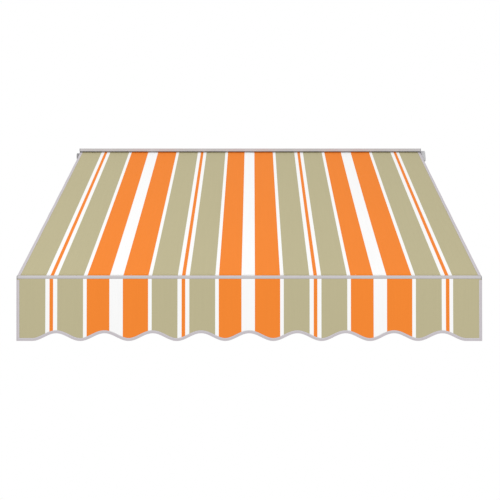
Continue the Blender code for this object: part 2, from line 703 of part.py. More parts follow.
def make_spring(side, name, pivot, body, across):
    """The spring inside the upper arm and the cable that pulls the elbow open."""
    flip = mirror(side)
    start = COLLAR_START + COLLAR + PLUG_DEPTH + CLEARANCE
    matrix = flip @ place(pivot + body * start, across, NORMAL, body)
    add("tension_spring_" + name, tube(SPRING_RADIUS, SPRING_WIRE, SPRING_LENGTH, matrix, 16),
        "spring steel", flip @ pivot, True)
    begin = start + SPRING_LENGTH + CLEARANCE
    corner = BODY_LENGTH + ELBOW_OFFSET * tan(BODY_ANGLE)
    onward = (OUT * cos(BODY_ANGLE) + X_AXIS * sin(BODY_ANGLE))
    middle = pivot + body * corner
    points = [pivot + body * begin, middle - body * CABLE_BEND, middle + onward * CABLE_BEND,
              middle + onward * (ELBOW_WEB + CABLE_BEND + ELBOW_SHOULDER)]
    bm = pipe(points, CABLE_RADIUS, NORMAL)
    bm.transform(flip)
    add("tension_cable_" + name, bm, "spring steel", flip @ pivot, True)


def hem_centre():
    """The middle of the round hem in the front bar's top groove."""
    lift = -HEM_RADIUS
    return sheet_point(along_at(FRONT_FACE_Y + GROOVE_REACH, lift), lift)


def valance_hem_centre():
    """The middle of the valance's hem in the groove below the first."""
    return hem_centre() - Z_AXIS * (2 * GROOVE_RADIUS + FRONT_WALL)


def in_groove(back, lift):
    """A point given from the hem's middle, back along the cloth and up from it."""
    return yz(hem_centre() - OUT * back + NORMAL * lift)


def top_wall(y, lift):
    """A point of the bar's sloping top wall at a given y."""
    centre = hem_centre()
    start = centre + NORMAL * lift
    return (y, start.z + (y - start.y) * tan(SLOPE))


def front_bar_outline():
    """The front bar's outer outline with its two hem grooves and the channel at the back."""
    centre = yz(valance_hem_centre())
    mouth = HEM_RADIUS - CLOTH / 2 - CLEARANCE
    open_angle = asin(mouth / GROOVE_RADIUS)
    outline = [(FRONT_FACE_Y, FRONT_BOTTOM_Z), (FRONT_FACE_Y, centre[1] + mouth)]
    outline += circle(centre, GROOVE_RADIUS, 12, pi - open_angle, pi * 2.5)
    outline += [(FRONT_FACE_Y, centre[1] + GROOVE_RADIUS)]
    roof = GROOVE_RADIUS + GROOVE_ROOF
    outline += [top_wall(FRONT_FACE_Y, roof), in_groove(GROOVE_RADIUS, roof)]
    outline += [in_groove(GROOVE_RADIUS, GROOVE_RADIUS)]
    outline += circle(yz(hem_centre()), GROOVE_RADIUS, 12, SLOPE + pi / 2, SLOPE + 2 * pi + open_angle)
    outline += [in_groove(2 * GROOVE_RADIUS, mouth), in_groove(2 * GROOVE_RADIUS, 0.0)]
    outline += [top_wall(FRONT_BACK_Y, 0.0)]
    floor = FRONT_BACK_Y - CHANNEL_DEPTH
    outline += [(FRONT_BACK_Y, SEAT_Z + SEAT_HALF), (floor, SEAT_Z + SEAT_HALF)]
    outline += [(floor, SEAT_Z - SEAT_HALF), (FRONT_BACK_Y, SEAT_Z - SEAT_HALF)]
    return outline + [(FRONT_BACK_Y, FRONT_BOTTOM_Z)]


def front_bar_hollow():
    """The chamber inside the front bar."""
    wall = FRONT_WALL
    centre = valance_hem_centre()
    front = FRONT_FACE_Y + wall
    step = centre.y + GROOVE_RADIUS + wall
    back = FRONT_BACK_Y - wall
    deep = back - CHANNEL_DEPTH
    bottom = FRONT_BOTTOM_Z + wall
    low = centre.z - GROOVE_RADIUS - wall
    shelf = SEAT_Z + SEAT_HALF + wall
    outline = [(front, low), (step, low), top_wall(step, -wall), top_wall(back, -wall)]
    return outline + [(back, shelf), (deep, shelf), (deep, bottom), (front, bottom)]


def make_front_bar():
    """The front bar and its end caps."""
    half = FABRIC_WIDTH / 2 - FRONT_CAP - CLEARANCE
    bm = prism([front_bar_outline(), front_bar_hollow()], 2 * half, section(-half))
    add("front_bar", bm, "painted grey", FRONT_ORIGIN)
    roof = GROOVE_RADIUS + GROOVE_ROOF
    plate = [(FRONT_FACE_Y, FRONT_BOTTOM_Z), top_wall(FRONT_FACE_Y, roof), in_groove(GROOVE_RADIUS, roof)]
    plate += [in_groove(GROOVE_RADIUS, 0.0), top_wall(FRONT_BACK_Y, 0.0)]
    plate.append((FRONT_BACK_Y, FRONT_BOTTOM_Z))
    for side, name in SIDES:
        matrix = mirror(side) @ section(half + CLEARANCE)
        add("front_bar_cap_" + name, prism([plate], FRONT_CAP, matrix), "grey plastic", FRONT_ORIGIN)


def make_connector(side, name):
    """The fork in the front bar's channel that holds the forearm, and its pin."""
    height = fork_half()
    gap = KNUCKLE_HEIGHT / 2 + CLEARANCE
    face = FRONT_BACK_Y - CHANNEL_DEPTH + CLEARANCE + CONNECTOR_PLATE
    reach = -2 * FORK_RADIUS
    seat = CONNECTOR_HEIGHT / 2

    def at_face(lift):
        """How far out the plate's inner face is at a height over the arm."""
        return (FRONT_PIVOT.y - face - lift * sin(SLOPE)) / cos(SLOPE)

    def local(y, z):
        """A point in y and z, seen from the pivot along and over the arm."""
        shift = Vector((0.0, y - FRONT_PIVOT.y, z - FRONT_PIVOT.z))
        return (shift.dot(OUT), shift.dot(NORMAL))

    top = SEAT_Z + seat
    low = SEAT_Z - seat
    view = [(reach, height), (at_face(height), height), local(face, top)]
    view += [local(face - CONNECTOR_PLATE, top), local(face - CONNECTOR_PLATE, low), local(face, low)]
    view += [(at_face(-height), -height), (reach, -height), (reach, -gap)]
    view += [(at_face(-gap), -gap), (at_face(gap), gap), (reach, gap)]
    frame = place(FRONT_PIVOT, OUT, -X_AXIS, NORMAL)
    edge = 3 * FORK_RADIUS
    plan = [circle((0, 0), FORK_RADIUS, 10, pi / 2, 1.5 * pi) + [(edge, -FORK_RADIUS), (edge, FORK_RADIUS)]]
    plan.append(circle((0, 0), PIN_RADIUS + CLEARANCE, 12))
    casting("arm_connector_" + name, plan, 2 * height, frame, view, side, FRONT_PIVOT)
    pin = turned(pin_profile(height), mirror(side) @ frame)
    add("connector_pin_" + name, pin, "zinc steel", mirror(side) @ FRONT_PIVOT, True)


def stripe_edges():
    """The x of every stripe's edge and the colour to the right of it, from left to right."""
    group = [("white", THIN_WHITE), ("orange", THIN_ORANGE), ("white", THIN_WHITE), ("sand", SAND_BAND)]
    wide = [("white", THIN_WHITE), ("orange", ORANGE_BAND), ("white", WIDE_WHITE)]
    wide += [("orange", WIDE_ORANGE), ("white", THIN_WHITE), ("sand", SAND_BAND)]
    run = (group + wide) * 3 + group[:3]
    total = sum(width for _, width in run)
    x = -total / 2
    edges = []
    for colour, width in run:
        edges.append((x, colour))
        x += width
    return edges + [(x, "sand")]


def colour_between(low, high):
    """The stripe colour between two edges."""
    middle = (low + high) / 2
    found = "sand"
    for x, colour in stripe_edges():
        if x <= middle:
            found = colour
    return COLOURS.index(found)


def cloth(stations, thickness):
    """A thin cloth that follows stations of point, half width, columns and rise over x.

    Each station gives where the cloth's middle is in y and z, how wide it is there, the x of
    its columns and a function that lifts it. Stripes run between columns of two stations.
    """
    bm = bmesh.new()
    path = [s[0] for s in stations]
    rows = []
    for points in (offset(path, thickness / 2), offset(path, -thickness / 2)):
        face = []
        for point, (_, half, columns, rise) in zip(points, stations):
            row = {}
            for key in [-FAR, *columns, FAR]:
                x = max(-half, min(half, key))
                row[key] = bm.verts.new((x, point[0], point[1] + rise(x)))
            face.append(row)
        rows.append(face)
    for face in rows:
        for near, far in zip(face, face[1:]):
            shared = [key for key in near if key in far]
            for low, high in zip(shared, shared[1:]):
                corners = [near[k] for k in near if low <= k <= high]
                corners += [far[k] for k in reversed(far) if low <= k <= high]
                made = bm.faces.new(corners)
                made.material_index = colour_between(low, high) if len(shared) > 2 else 0
    over, under = rows
    for i in (0, -1):
        keys = list(over[i])
        for low, high in zip(keys, keys[1:]):
            bm.faces.new((over[i][low], over[i][high], under[i][high], under[i][low]))
    for i in range(len(path) - 1):
        for key in (-FAR, FAR):
            bm.faces.new((over[i][key], over[i + 1][key], under[i + 1][key], under[i][key]))
    return bm


def level(x):
    """No rise anywhere."""
    return 0.0


def make_canopy():
    """The striped cloth from the roller to the front bar, with its hem and edge tapes."""
    end = SLOPE + pi / 2
    steps = round(ROLLED_TURNS * TURN_STEPS)
    stations = []
    for i in range(steps):
        back = (steps - i) / TURN_STEPS
        radius = SHEET_RADIUS - back * (CLOTH + CLOTH_GAP)
        angle = end - 2 * pi * back
        point = (ROLLER.y + radius * cos(angle), ROLLER.z + radius * sin(angle))
        stations.append((point, CUT_HALF, [], level))
    stripes = [x for x, _ in stripe_edges()]
    hem = hem_centre()
    last = along_at(hem.y, -HEM_RADIUS)
    stations.append((yz(sheet_point(0.0)), CUT_HALF, stripes, level))
    stations.append((yz(sheet_point(last - 4 * GROOVE_RADIUS)), CUT_HALF, stripes, level))
    stations.append((yz(sheet_point(last - 3 * GROOVE_RADIUS)), GROOVE_HALF, stripes, level))
    loop = circle(yz(hem), HEM_RADIUS, 12, end, end + HEM_WRAP)
    stations += [(point, GROOVE_HALF, [], level) for point in loop]
    add("canopy", cloth(stations, CLOTH), COLOURS, ROLLER)
    make_hem_rod("canopy_hem_rod", hem)
    for side, name in SIDES:
        make_edge_tape(side, name, last)


def make_hem_rod(name, centre):
    """The round rod that fills a hem and keeps it in its groove."""
    radius = HEM_RADIUS - CLOTH / 2 - HEM_ROD_ROOM
    start = place(centre - X_AXIS * GROOVE_HALF, Y_AXIS, Z_AXIS, X_AXIS)
    add(name, rod(radius, 2 * GROOVE_HALF, start, 12), "grey plastic", FRONT_ORIGIN, True)


def make_edge_tape(side, name, last):
    """The tape folded over one side edge of the canopy."""
    gap = CLOTH / 2 + CLEARANCE
    outer = CUT_HALF + CLEARANCE + TAPE
    leg = outer - EDGE_TAPE_WIDTH
    outline = [(leg, gap), (outer - TAPE, gap), (outer - TAPE, -gap), (leg, -gap)]
    outline += [(leg, -gap - TAPE), (outer, -gap - TAPE), (outer, gap + TAPE), (leg, gap + TAPE)]
    start = 2 * GROOVE_RADIUS
    frame = mirror(side) @ place(sheet_point(start), X_AXIS, NORMAL, OUT)
    bm = prism([outline], last - 4 * GROOVE_RADIUS - start, frame)
    add("canopy_tape_" + name, bm, "grey tape", ROLLER)


def wave_stations():
    """The x of the points along the valance's wavy hem."""
    count = WAVES * WAVE_STEPS
    return [(i / count - 0.5) * WAVES * WAVE_PITCH for i in range(count + 1)]


def wave_rise(x):
    """How high the hem is over its lowest line, straight between its points."""
    stations = wave_stations()
    if not stations[0] < x < stations[-1]:
        return 0.0
    step = WAVE_PITCH / WAVE_STEPS
    share = (x - stations[0]) / step
    near = int(share)
    low, high = (WAVE_HEIGHT / 2 * (1 - cos(2 * pi * (near + k) / WAVE_STEPS)) for k in (0, 1))
    return low + (high - low) * (share - near)


def make_valance():
    """The valance with its round hem, its wavy edge, the tape over that edge and its rod."""
    hem = valance_hem_centre()
    top = hem.z + HEM_RADIUS
    hang = FRONT_FACE_Y - VALANCE_GAP - CLOTH / 2
    low = hem.z + HEM_RADIUS - VALANCE_DROP + CLEARANCE + TAPE
    stripes = [x for x, _ in stripe_edges()]
    loop = circle(yz(hem), HEM_RADIUS, 12, pi / 2 - HEM_WRAP, pi / 2)
    stations = [(point, GROOVE_HALF, [], level) for point in loop[:-1]]
    stations.append((loop[-1], GROOVE_HALF, stripes, level))
    bend = circle((hang + VALANCE_BEND, top - VALANCE_BEND), VALANCE_BEND, 3, pi / 2, pi)
    stations += [(point, GROOVE_HALF, stripes, level) for point in bend]
    stations.append(((hang, top - 4 * GROOVE_RADIUS), CUT_HALF, stripes, level))
    stations.append(((hang, low), CUT_HALF, sorted(stripes + wave_stations()), wave_rise))
    add("valance", cloth(stations, CLOTH), COLOURS, FRONT_ORIGIN)
    make_hem_rod("valance_hem_rod", hem)
    edge = [(-CUT_HALF, top - 4 * GROOVE_RADIUS), (-CUT_HALF, low)]
    edge += [(x, low + wave_rise(x)) for x in wave_stations()]
    edge += [(CUT_HALF, low), (CUT_HALF, top - 4 * GROOVE_RADIUS)]
    make_valance_tape(edge, hang)


def make_valance_tape(edge, hang):
    """The tape folded over the valance's sides and its wavy hem."""
    gap = CLOTH / 2 + CLEARANCE
    fold = offset(edge, -CLEARANCE)
    outer = offset(edge, -CLEARANCE - TAPE)
    leg = offset(edge, EDGE_TAPE_WIDTH - CLEARANCE - TAPE)
    ring = [(leg, gap), (fold, gap), (fold, -gap), (leg, -gap)]
    ring += [(leg, -gap - TAPE), (outer, -gap - TAPE), (outer, gap + TAPE), (leg, gap + TAPE)]
    bm = bmesh.new()
    rows = []
    for i in range(len(edge)):
        rows.append([bm.verts.new((path[i][0], hang + depth, path[i][1])) for path, depth in ring])
    for near, far in zip(rows, rows[1:]):
        for k in range(len(ring)):
            bm.faces.new((near[k - 1], near[k], far[k], far[k - 1]))
    bm.faces.new(rows[0])
    bm.faces.new(rows[-1])
    add("valance_tape", bm, "grey tape", FRONT_ORIGIN)


def main():
    """Builds the whole awning."""
    for item in list(bpy.data.objects):
        bpy.data.objects.remove(item, do_unlink=True)
    make_bar()
    make_bearing()
    make_gear()
    make_roller()
    make_hood()
    make_front_bar()
    make_canopy()
    make_valance()
    for side, name in SIDES:
        make_wall_bracket(side, name)
        make_end_plate(side, name)
        make_shoulder(side, name)
        make_arm(side, name, True)
        make_arm(side, name, False)
        make_connector(side, name)


main()
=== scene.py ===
import logging
from dataclasses import dataclass
from enum import Enum
from math import atan, cos, exp, pi, radians, sin, sqrt, tan
from typing import Callable, Iterable, Sequence, Union

import bmesh
import bpy
from bmesh.types import BMesh
from bpy.types import ColorRamp, ID, Material, Node, NodeSocket, NodeTree, Object, World
from mathutils import Matrix, Vector


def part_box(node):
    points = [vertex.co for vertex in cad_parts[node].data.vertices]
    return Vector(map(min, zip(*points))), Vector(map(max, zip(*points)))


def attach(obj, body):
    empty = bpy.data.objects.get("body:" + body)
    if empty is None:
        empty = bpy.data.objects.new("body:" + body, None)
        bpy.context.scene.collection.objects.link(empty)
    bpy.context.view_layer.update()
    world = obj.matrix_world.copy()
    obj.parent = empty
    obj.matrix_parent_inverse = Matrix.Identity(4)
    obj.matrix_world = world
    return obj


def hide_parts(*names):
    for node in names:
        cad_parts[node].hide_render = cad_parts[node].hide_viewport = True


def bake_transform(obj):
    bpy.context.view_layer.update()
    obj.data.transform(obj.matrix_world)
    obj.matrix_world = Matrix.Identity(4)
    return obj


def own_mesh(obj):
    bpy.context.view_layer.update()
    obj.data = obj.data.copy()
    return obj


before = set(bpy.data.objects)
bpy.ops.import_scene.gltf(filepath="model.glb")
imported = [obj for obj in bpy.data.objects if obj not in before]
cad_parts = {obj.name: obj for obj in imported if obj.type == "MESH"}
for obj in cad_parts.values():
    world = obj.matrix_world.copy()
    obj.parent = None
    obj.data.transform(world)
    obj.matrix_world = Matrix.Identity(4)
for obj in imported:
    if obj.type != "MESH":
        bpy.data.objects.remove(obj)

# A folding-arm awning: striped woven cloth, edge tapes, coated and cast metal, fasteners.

logging.basicConfig(level=logging.INFO, format="%(message)s")
log = logging.getLogger("awning")

Triple = tuple[float, float, float]
Colour = Triple
Number = Union[float, "Field"]
Paint = Union[Colour, NodeSocket]
Ring = tuple[float, float, bool]
Uniform = tuple[tuple[str, float], ...]
Spot = tuple[Vector, Vector]
TAPE_MAP = "tape"
CAST = ("knuckle", "fork", "connector", "shoulder_bracket", "gear")
PLATE = ("bracket", "clamp", "plate", "support", "cap", "bearing", "hood", "front_bar")


@dataclass(frozen=True)
class Layout:
    """The awning's measures in metres, as the model has them."""

    width: float = 1.960
    slope: float = radians(26.2)
    cloth: float = 0.0005
    solid_cloth: float = 0.0008
    clearance: float = 0.0003
    tape: float = 0.0005
    tape_width: float = 0.0125
    roller_axis: Triple = (0.0, -0.075, 0.085)
    roller_radius: float = 0.035
    turns: float = 1.5
    turn_pitch: float = 0.0012
    shoulder: Triple = (0.830, -0.130, 0.028)
    pivot_length: float = 0.739
    elbow_offset: float = 0.032
    spread: float = radians(10.0)
    connector_reach: float = 0.024
    bar_depth: float = 0.038
    groove_reach: float = 0.009
    hem_radius: float = 0.0035
    hem_room: float = 0.00035
    front_wall: float = 0.0022
    front_cap: float = 0.0025
    hem_wrap: float = radians(305.0)
    tape_gap: float = 0.0001
    valance_bend: float = 0.0012
    valance_gap: float = 0.0008
    valance_drop: float = 0.2610
    wave_height: float = 0.0325
    wave_pitch: float = 0.2030
    waves: int = 9
    plate: float = 0.006
    arm_height: float = 0.044
    arm_start: float = 0.0343
    elbow_collar: float = 0.040

    @property
    def body_length(self) -> float:
        """An arm's length along its profile, from pivot to elbow."""
        return sqrt(self.pivot_length ** 2 - self.elbow_offset ** 2)

    @property
    def tilt(self) -> float:
        """The angle of an arm's profile to the way out, at rest."""
        return self.spread + atan(self.elbow_offset / self.body_length)

    @property
    def arm_end(self) -> float:
        """How far from its pivot an arm's profile ends."""
        return self.body_length - self.elbow_collar - self.clearance

    def arm(self, side: "Side", upper: bool) -> tuple[Vector, Vector]:
        """The pivot of one half of an arm and the way its profile runs from there.

        Args:
            side: the awning's end.
            upper: the half at the wall, or else the half at the front.

        Returns:
            The pivot and the unit direction.
        """
        sense = 1 if upper else -1
        pivot = Vector(self.shoulder) if upper else self.front_pivot
        inward = Vector((-side.value, 0.0, 0.0))
        way = self.out * (sense * cos(self.tilt)) + inward * sin(self.tilt)
        return Vector((side.value * abs(pivot.x), pivot.y, pivot.z)), way

    @property
    def out(self) -> Vector:
        """The way the cloth runs, down its slope."""
        return Vector((0.0, -cos(self.slope), -sin(self.slope)))

    @property
    def normal(self) -> Vector:
        """Up from the cloth's face."""
        return Vector((0.0, -sin(self.slope), cos(self.slope)))

    @property
    def roller(self) -> Vector:
        """The roller's axis at mid width."""
        return Vector(self.roller_axis)

    @property
    def half(self) -> float:
        """Half the cloth's cut width."""
        return self.width / 2 - self.clearance - self.tape

    @property
    def groove_half(self) -> float:
        """Half the cloth's width where it lies in a groove, between the bar's caps."""
        return self.half - self.front_cap - 2 * self.clearance

    @property
    def sheet_radius(self) -> float:
        """The radius at which the cloth leaves the roller, at its middle."""
        turns = self.turns * self.turn_pitch
        return self.roller_radius + self.clearance + self.solid_cloth / 2 + turns

    @property
    def reach(self) -> float:
        """How far the front pivots stand from the shoulders, along the slope."""
        return 2 * self.pivot_length * cos(self.spread)

    @property
    def front_pivot(self) -> Vector:
        """The right arm's front pivot."""
        return Vector(self.shoulder) + self.out * self.reach

    @property
    def front_face(self) -> float:
        """The y of the front bar's face."""
        return self.front_pivot.y - self.connector_reach - self.bar_depth

    @property
    def travel(self) -> float:
        """How far the front bar comes in."""
        return self.reach - 2 * self.elbow_offset

    @property
    def groove_radius(self) -> float:
        """The radius of the grooves that hold the hems."""
        return self.hem_radius + self.solid_cloth / 2 + self.hem_room

    def sheet(self, along: float, lift: float = 0.0) -> Vector:
        """A point of the cloth's plane at mid width.

        Args:
            along: distance down the slope from where the cloth leaves the roller.
            lift: distance over the cloth's middle.

        Returns:
            The point in the row frame.
        """
        return self.roller + self.normal * (self.sheet_radius + lift) + self.out * along

    @property
    def hem_along(self) -> float:
        """How far down the slope the canopy's hem lies."""
        reach = self.sheet(0.0, -self.hem_radius).y - self.front_face - self.groove_reach
        return reach / cos(self.slope)

    @property
    def hem(self) -> Vector:
        """The middle of the canopy's hem in the front bar."""
        return self.sheet(self.hem_along, -self.hem_radius)

    @property
    def valance_hem(self) -> Vector:
        """The middle of the valance's hem in the front bar."""
        return self.hem - Vector((0.0, 0.0, 2 * self.groove_radius + self.front_wall))

    @property
    def sheet_length(self) -> float:
        """The free cloth between the roller and the front bar's groove."""
        return self.hem_along - 2 * self.groove_radius

    @property
    def tape_section(self) -> list[tuple[float, float]]:
        """The folded tape's section: distance in from its fold and over the cloth's middle."""
        near = self.cloth / 2 + self.tape_gap
        far = near + self.tape
        wide, thin = self.tape_width, self.tape
        inside = [(wide, near), (thin, near), (thin, -near), (wide, -near)]
        return inside + [(wide, -far), (0.0, -far), (0.0, far), (wide, far)]

    @property
    def keep(self) -> float:
        """The share of the free cloth left when the awning is wound in."""
        return 1.0 - self.travel / self.sheet_length


LAYOUT = Layout()


class Side(Enum):
    """The two ends of the awning."""

    LEFT = -1
    RIGHT = 1

    @property
    def word(self) -> str:
        """The end's name as the nodes have it."""
        return self.name.lower()


class Field:
    """A value that varies over a surface, so that shader maths reads as plain maths."""

    def __init__(self, tree: NodeTree, socket: NodeSocket) -> None:
        self.tree = tree
        self.socket = socket

    def _maths(self, operation: str, *values: Number) -> "Field":
        inputs = dict(enumerate(values))
        node = Nodes(self.tree).node("ShaderNodeMath", {"operation": operation}, inputs)
        return Field(self.tree, node.outputs[0])

    def __add__(self, other: Number) -> "Field":
        return self._maths("ADD", self, other)

    def __radd__(self, other: Number) -> "Field":
        return self._maths("ADD", other, self)

    def __sub__(self, other: Number) -> "Field":
        return self._maths("SUBTRACT", self, other)

    def __rsub__(self, other: Number) -> "Field":
        return self._maths("SUBTRACT", other, self)

    def __mul__(self, other: Number) -> "Field":
        return self._maths("MULTIPLY", self, other)

    def __rmul__(self, other: Number) -> "Field":
        return self._maths("MULTIPLY", other, self)

    def __truediv__(self, other: Number) -> "Field":
        return self._maths("DIVIDE", self, other)

    def __mod__(self, other: Number) -> "Field":
        return self._maths("FLOORED_MODULO", self, other)

    def __gt__(self, other: Number) -> "Field":
        return self._maths("GREATER_THAN", self, other)

    def __lt__(self, other: Number) -> "Field":
        return self._maths("LESS_THAN", self, other)

    def __abs__(self) -> "Field":
        return self._maths("ABSOLUTE", self)

    def sine(self, period: float) -> "Field":
        """A sine wave over the value, from -1 to 1."""
        return self._maths("SINE", self * (2 * pi / period))

    def raised(self) -> "Field":
        """A value from -1 to 1 brought to 0 to 1."""
        return 0.5 * self + 0.5

    def swing(self, amount: float) -> "Field":
        """A value from 0 to 1 as a swing of a given size about 0."""
        return amount * (self - 0.5)

    def power(self, exponent: Number) -> "Field":
        """The value raised to an exponent."""
        return self._maths("POWER", self, exponent)


class Nodes:
    """A node tree with the one method that adds to it."""

    def __init__(self, tree: NodeTree) -> None:
        self.tree = tree

    def node(self, kind: str, settings: dict | None = None, inputs: dict | None = None) -> Node:
        """Adds one node.

        Args:
            kind: the node's type.
            settings: its own settings, set before its sockets; stops fill a colour ramp.
            inputs: values, fields or sockets by socket name or number.

        Returns:
            The new node.
        """
        node = self.tree.nodes.new(kind)
        for name, value in (settings or {}).items():
            if name == "stops":
                self._fill(node.color_ramp, value)
            else:
                setattr(node, name, value)
        for name, value in (inputs or {}).items():
            if isinstance(value, Field):
                value = value.socket
            if isinstance(value, NodeSocket):
                self.tree.links.new(value, node.inputs[name])
            else:
                node.inputs[name].default_value = value
        return node

    @staticmethod
    def _fill(ramp: ColorRamp, stops: Sequence[tuple[float, Colour]]) -> None:
        ramp.interpolation = "CONSTANT"
        while len(ramp.elements) > 1:
            ramp.elements.remove(ramp.elements[-1])
        ramp.elements[0].position = stops[0][0]
        ramp.elements[0].color = (*stops[0][1], 1.0)
        for position, colour in stops[1:]:
            ramp.elements.new(position).color = (*colour, 1.0)


class Surface(Nodes):
    """Builds one material: a Principled shader and the nodes that feed it."""

    def __init__(self, name: str, **uniform: float) -> None:
        self.material = bpy.data.materials.new(name)
        self.material.use_nodes = True
        super().__init__(self.material.node_tree)
        self.shader = self.tree.nodes["Principled BSDF"]
        for socket, value in uniform.items():
            self.shader.inputs[socket.replace("_", " ")].default_value = value
        self.position = self.node("ShaderNodeTexCoord").outputs["Object"]
        self.x, self.y, self.z = self.parts(self.position)

    def parts(self, vector: NodeSocket) -> list[Field]:
        """The three parts of a vector."""
        split = self.node("ShaderNodeSeparateXYZ", inputs={0: vector})
        return [Field(self.tree, out) for out in split.outputs]

    def noise(self, scale: float, detail: float = 2.0, stretch: Triple = (1.0, 1.0, 1.0)) -> Field:
        """Smooth noise from 0 to 1, of a given scale, longer along some axes if stretched."""
        mapping = self.node("ShaderNodeMapping", inputs={"Vector": self.position, "Scale": stretch})
        inputs = {"Vector": mapping.outputs[0], "Scale": scale, "Detail": detail}
        return Field(self.tree, self.node("ShaderNodeTexNoise", inputs=inputs).outputs[0])

    def _mix(self, blend: str, factor: Number, low: Paint, high: Paint) -> NodeSocket:
        ends = [(*paint, 1.0) if isinstance(paint, tuple) else paint for paint in (low, high)]
        settings = {"data_type": "RGBA", "blend_type": blend}
        return self.node("ShaderNodeMix", settings, {0: factor, 6: ends[0], 7: ends[1]}).outputs[2]

    def mixed(self, factor: Field, low: Paint, high: Paint) -> NodeSocket:
        """Two colours mixed by a factor."""
        return self._mix("MIX", factor, low, high)

    def shaded(self, paint: Paint, amount: Field) -> NodeSocket:
        """A colour times a brightness that varies."""
        grey = self.node("ShaderNodeCombineXYZ", inputs={0: amount, 1: amount, 2: amount})
        return self._mix("MULTIPLY", 1.0, paint, grey.outputs[0])

    def colour(self, paint: NodeSocket) -> None:
        """Lets the base colour vary."""
        self.tree.links.new(paint, self.shader.inputs["Base Color"])

    def roughness(self, value: Field) -> None:
        """Lets the roughness vary."""
        self.tree.links.new(value.socket, self.shader.inputs["Roughness"])

    def relief(self, height: Field, depth: float, strength: float = 1.0) -> None:
        """Raises the surface by a height field, its depth in metres."""
        inputs = {"Height": height, "Distance": depth, "Strength": strength}
        bump = self.node("ShaderNodeBump", inputs=inputs)
        self.tree.links.new(bump.outputs[0], self.shader.inputs["Normal"])


@dataclass(frozen=True)
class StripedCloth:
    """Woven awning cloth with dyed stripes that run down the slope."""

    sand: Colour = (0.503, 0.456, 0.279)
    orange: Colour = (0.905, 0.243, 0.031)
    white: Colour = (0.960, 0.960, 0.955)
    thin_white: float = 0.0155
    thin_orange: float = 0.0170
    sand_band: float = 0.1100
    orange_band: float = 0.0940
    wide_white: float = 0.0580
    wide_orange: float = 0.1050
    thread: float = 0.0011
    relief: float = 0.00006
    relief_strength: float = 0.5
    brightness: float = 0.985
    streak_scale: float = 260.0
    streak_stretch: Triple = (1.0, 0.02, 0.02)
    streak_shade: float = 0.05
    cloud_scale: float = 2.2
    cloud_shade: float = 0.03
    # Painted shade: how much darker the weave's hollows are drawn.
    painted_weave_shade: float = 0.015
    roughness: float = 0.80
    hollow_roughness: float = 0.08

    @property
    def run(self) -> list[tuple[Colour, float]]:
        """One repeat of the stripes, from left to right."""
        white, sand = (self.white, self.thin_white), (self.sand, self.sand_band)
        thin = [white, (self.orange, self.thin_orange), white]
        wide = [white, (self.orange, self.orange_band), (self.white, self.wide_white)]
        return [*thin, sand, *wide, (self.orange, self.wide_orange), white, sand]

    def stripes(self, surface: Surface) -> NodeSocket:
        """The stripe colours over x."""
        repeat = sum(width for _, width in self.run)
        thin = sum(width for _, width in self.run[:3])
        edge = (3 * repeat + thin) / 2
        place = ((surface.x + edge) % repeat) / repeat
        stops, position = [], 0.0
        for colour, width in self.run:
            stops.append((position / repeat, colour))
            position += width
        ramp = surface.node("ShaderNodeValToRGB", {"stops": stops}, {0: place})
        return surface.mixed(abs(surface.x) > edge, ramp.outputs[0], self.sand)

    def build(self, name: str, along: Callable[[Surface], Field]) -> Material:
        """The cloth's material.

        Args:
            name: the material's name.
            along: gives the distance along the warp at a point.

        Returns:
            The material.
        """
        surface = Surface(name, Sheen_Weight=0.02, Sheen_Roughness=0.5, Specular_IOR_Level=0.12)
        weave = (surface.x.sine(self.thread) * along(surface).sine(self.thread)).raised()
        streaks = surface.noise(self.streak_scale, 1.0, self.streak_stretch).swing(self.streak_shade)
        clouds = surface.noise(self.cloud_scale, 3.0).swing(self.cloud_shade)
        # Streaks and clouds are the yarn's own tone; the weave term is painted shade, darker in the
        # weave's hollows.
        shade = self.brightness + streaks + clouds + self.painted_weave_shade * weave
        surface.colour(surface.shaded(self.stripes(surface), shade))
        surface.roughness(self.roughness + self.hollow_roughness * (1.0 - weave))
        surface.relief(weave, self.relief, self.relief_strength)
        return surface.material


@dataclass(frozen=True)
class EdgeTapeCloth:
    """Ribbed edge tape with one row of stitches near its inner edge."""

    tint: Colour = (0.565, 0.527, 0.556)
    thread_tint: Colour = (0.78, 0.76, 0.77)
    stitch: float = 0.0050
    stitch_share: float = 0.7
    thread_radius: float = 0.0005
    inset: float = 0.0022
    rib: float = 0.0009
    brightness: float = 0.97
    wear_scale: float = 14.0
    wear_shade: float = 0.08
    # Painted shade: how much darker the grooves between the ribs are drawn.
    painted_rib_shade: float = 0.03
    roughness: float = 0.74
    hollow_roughness: float = 0.1
    rib_height: float = 0.4
    relief: float = 0.00015
    relief_strength: float = 0.6

    def build(self, name: str) -> Material:
        """The tape's material, which follows the tape by its own lengthwise map."""
        surface = Surface(name, Sheen_Weight=0.1, Sheen_Roughness=0.5)
        mapped = surface.node("ShaderNodeUVMap", {"uv_map": TAPE_MAP})
        along, across, _ = surface.parts(mapped.outputs[0])
        row = abs(across - (LAYOUT.tape_width - self.inset)) < self.thread_radius
        stitches = row * ((along % self.stitch) < self.stitch * self.stitch_share)
        ribs = along.sine(self.rib).raised()
        wear = surface.noise(self.wear_scale, 3.0).swing(self.wear_shade)
        # The wear is the tape's own tone; the rib term is painted shade, darker in the grooves between
        # ribs.
        shade = self.brightness + wear + self.painted_rib_shade * ribs
        surface.colour(surface.mixed(stitches, surface.shaded(self.tint, shade), self.thread_tint))
        surface.roughness(self.roughness + self.hollow_roughness * (1.0 - ribs))
        surface.relief(self.rib_height * ribs + stitches, self.relief, self.relief_strength)
        return surface.material


@dataclass(frozen=True)
class Grain:
    """One scale of unevenness: its fineness, detail, and share in the shade and the roughness."""

    scale: float
    detail: float
    shade: float
    roughness: float


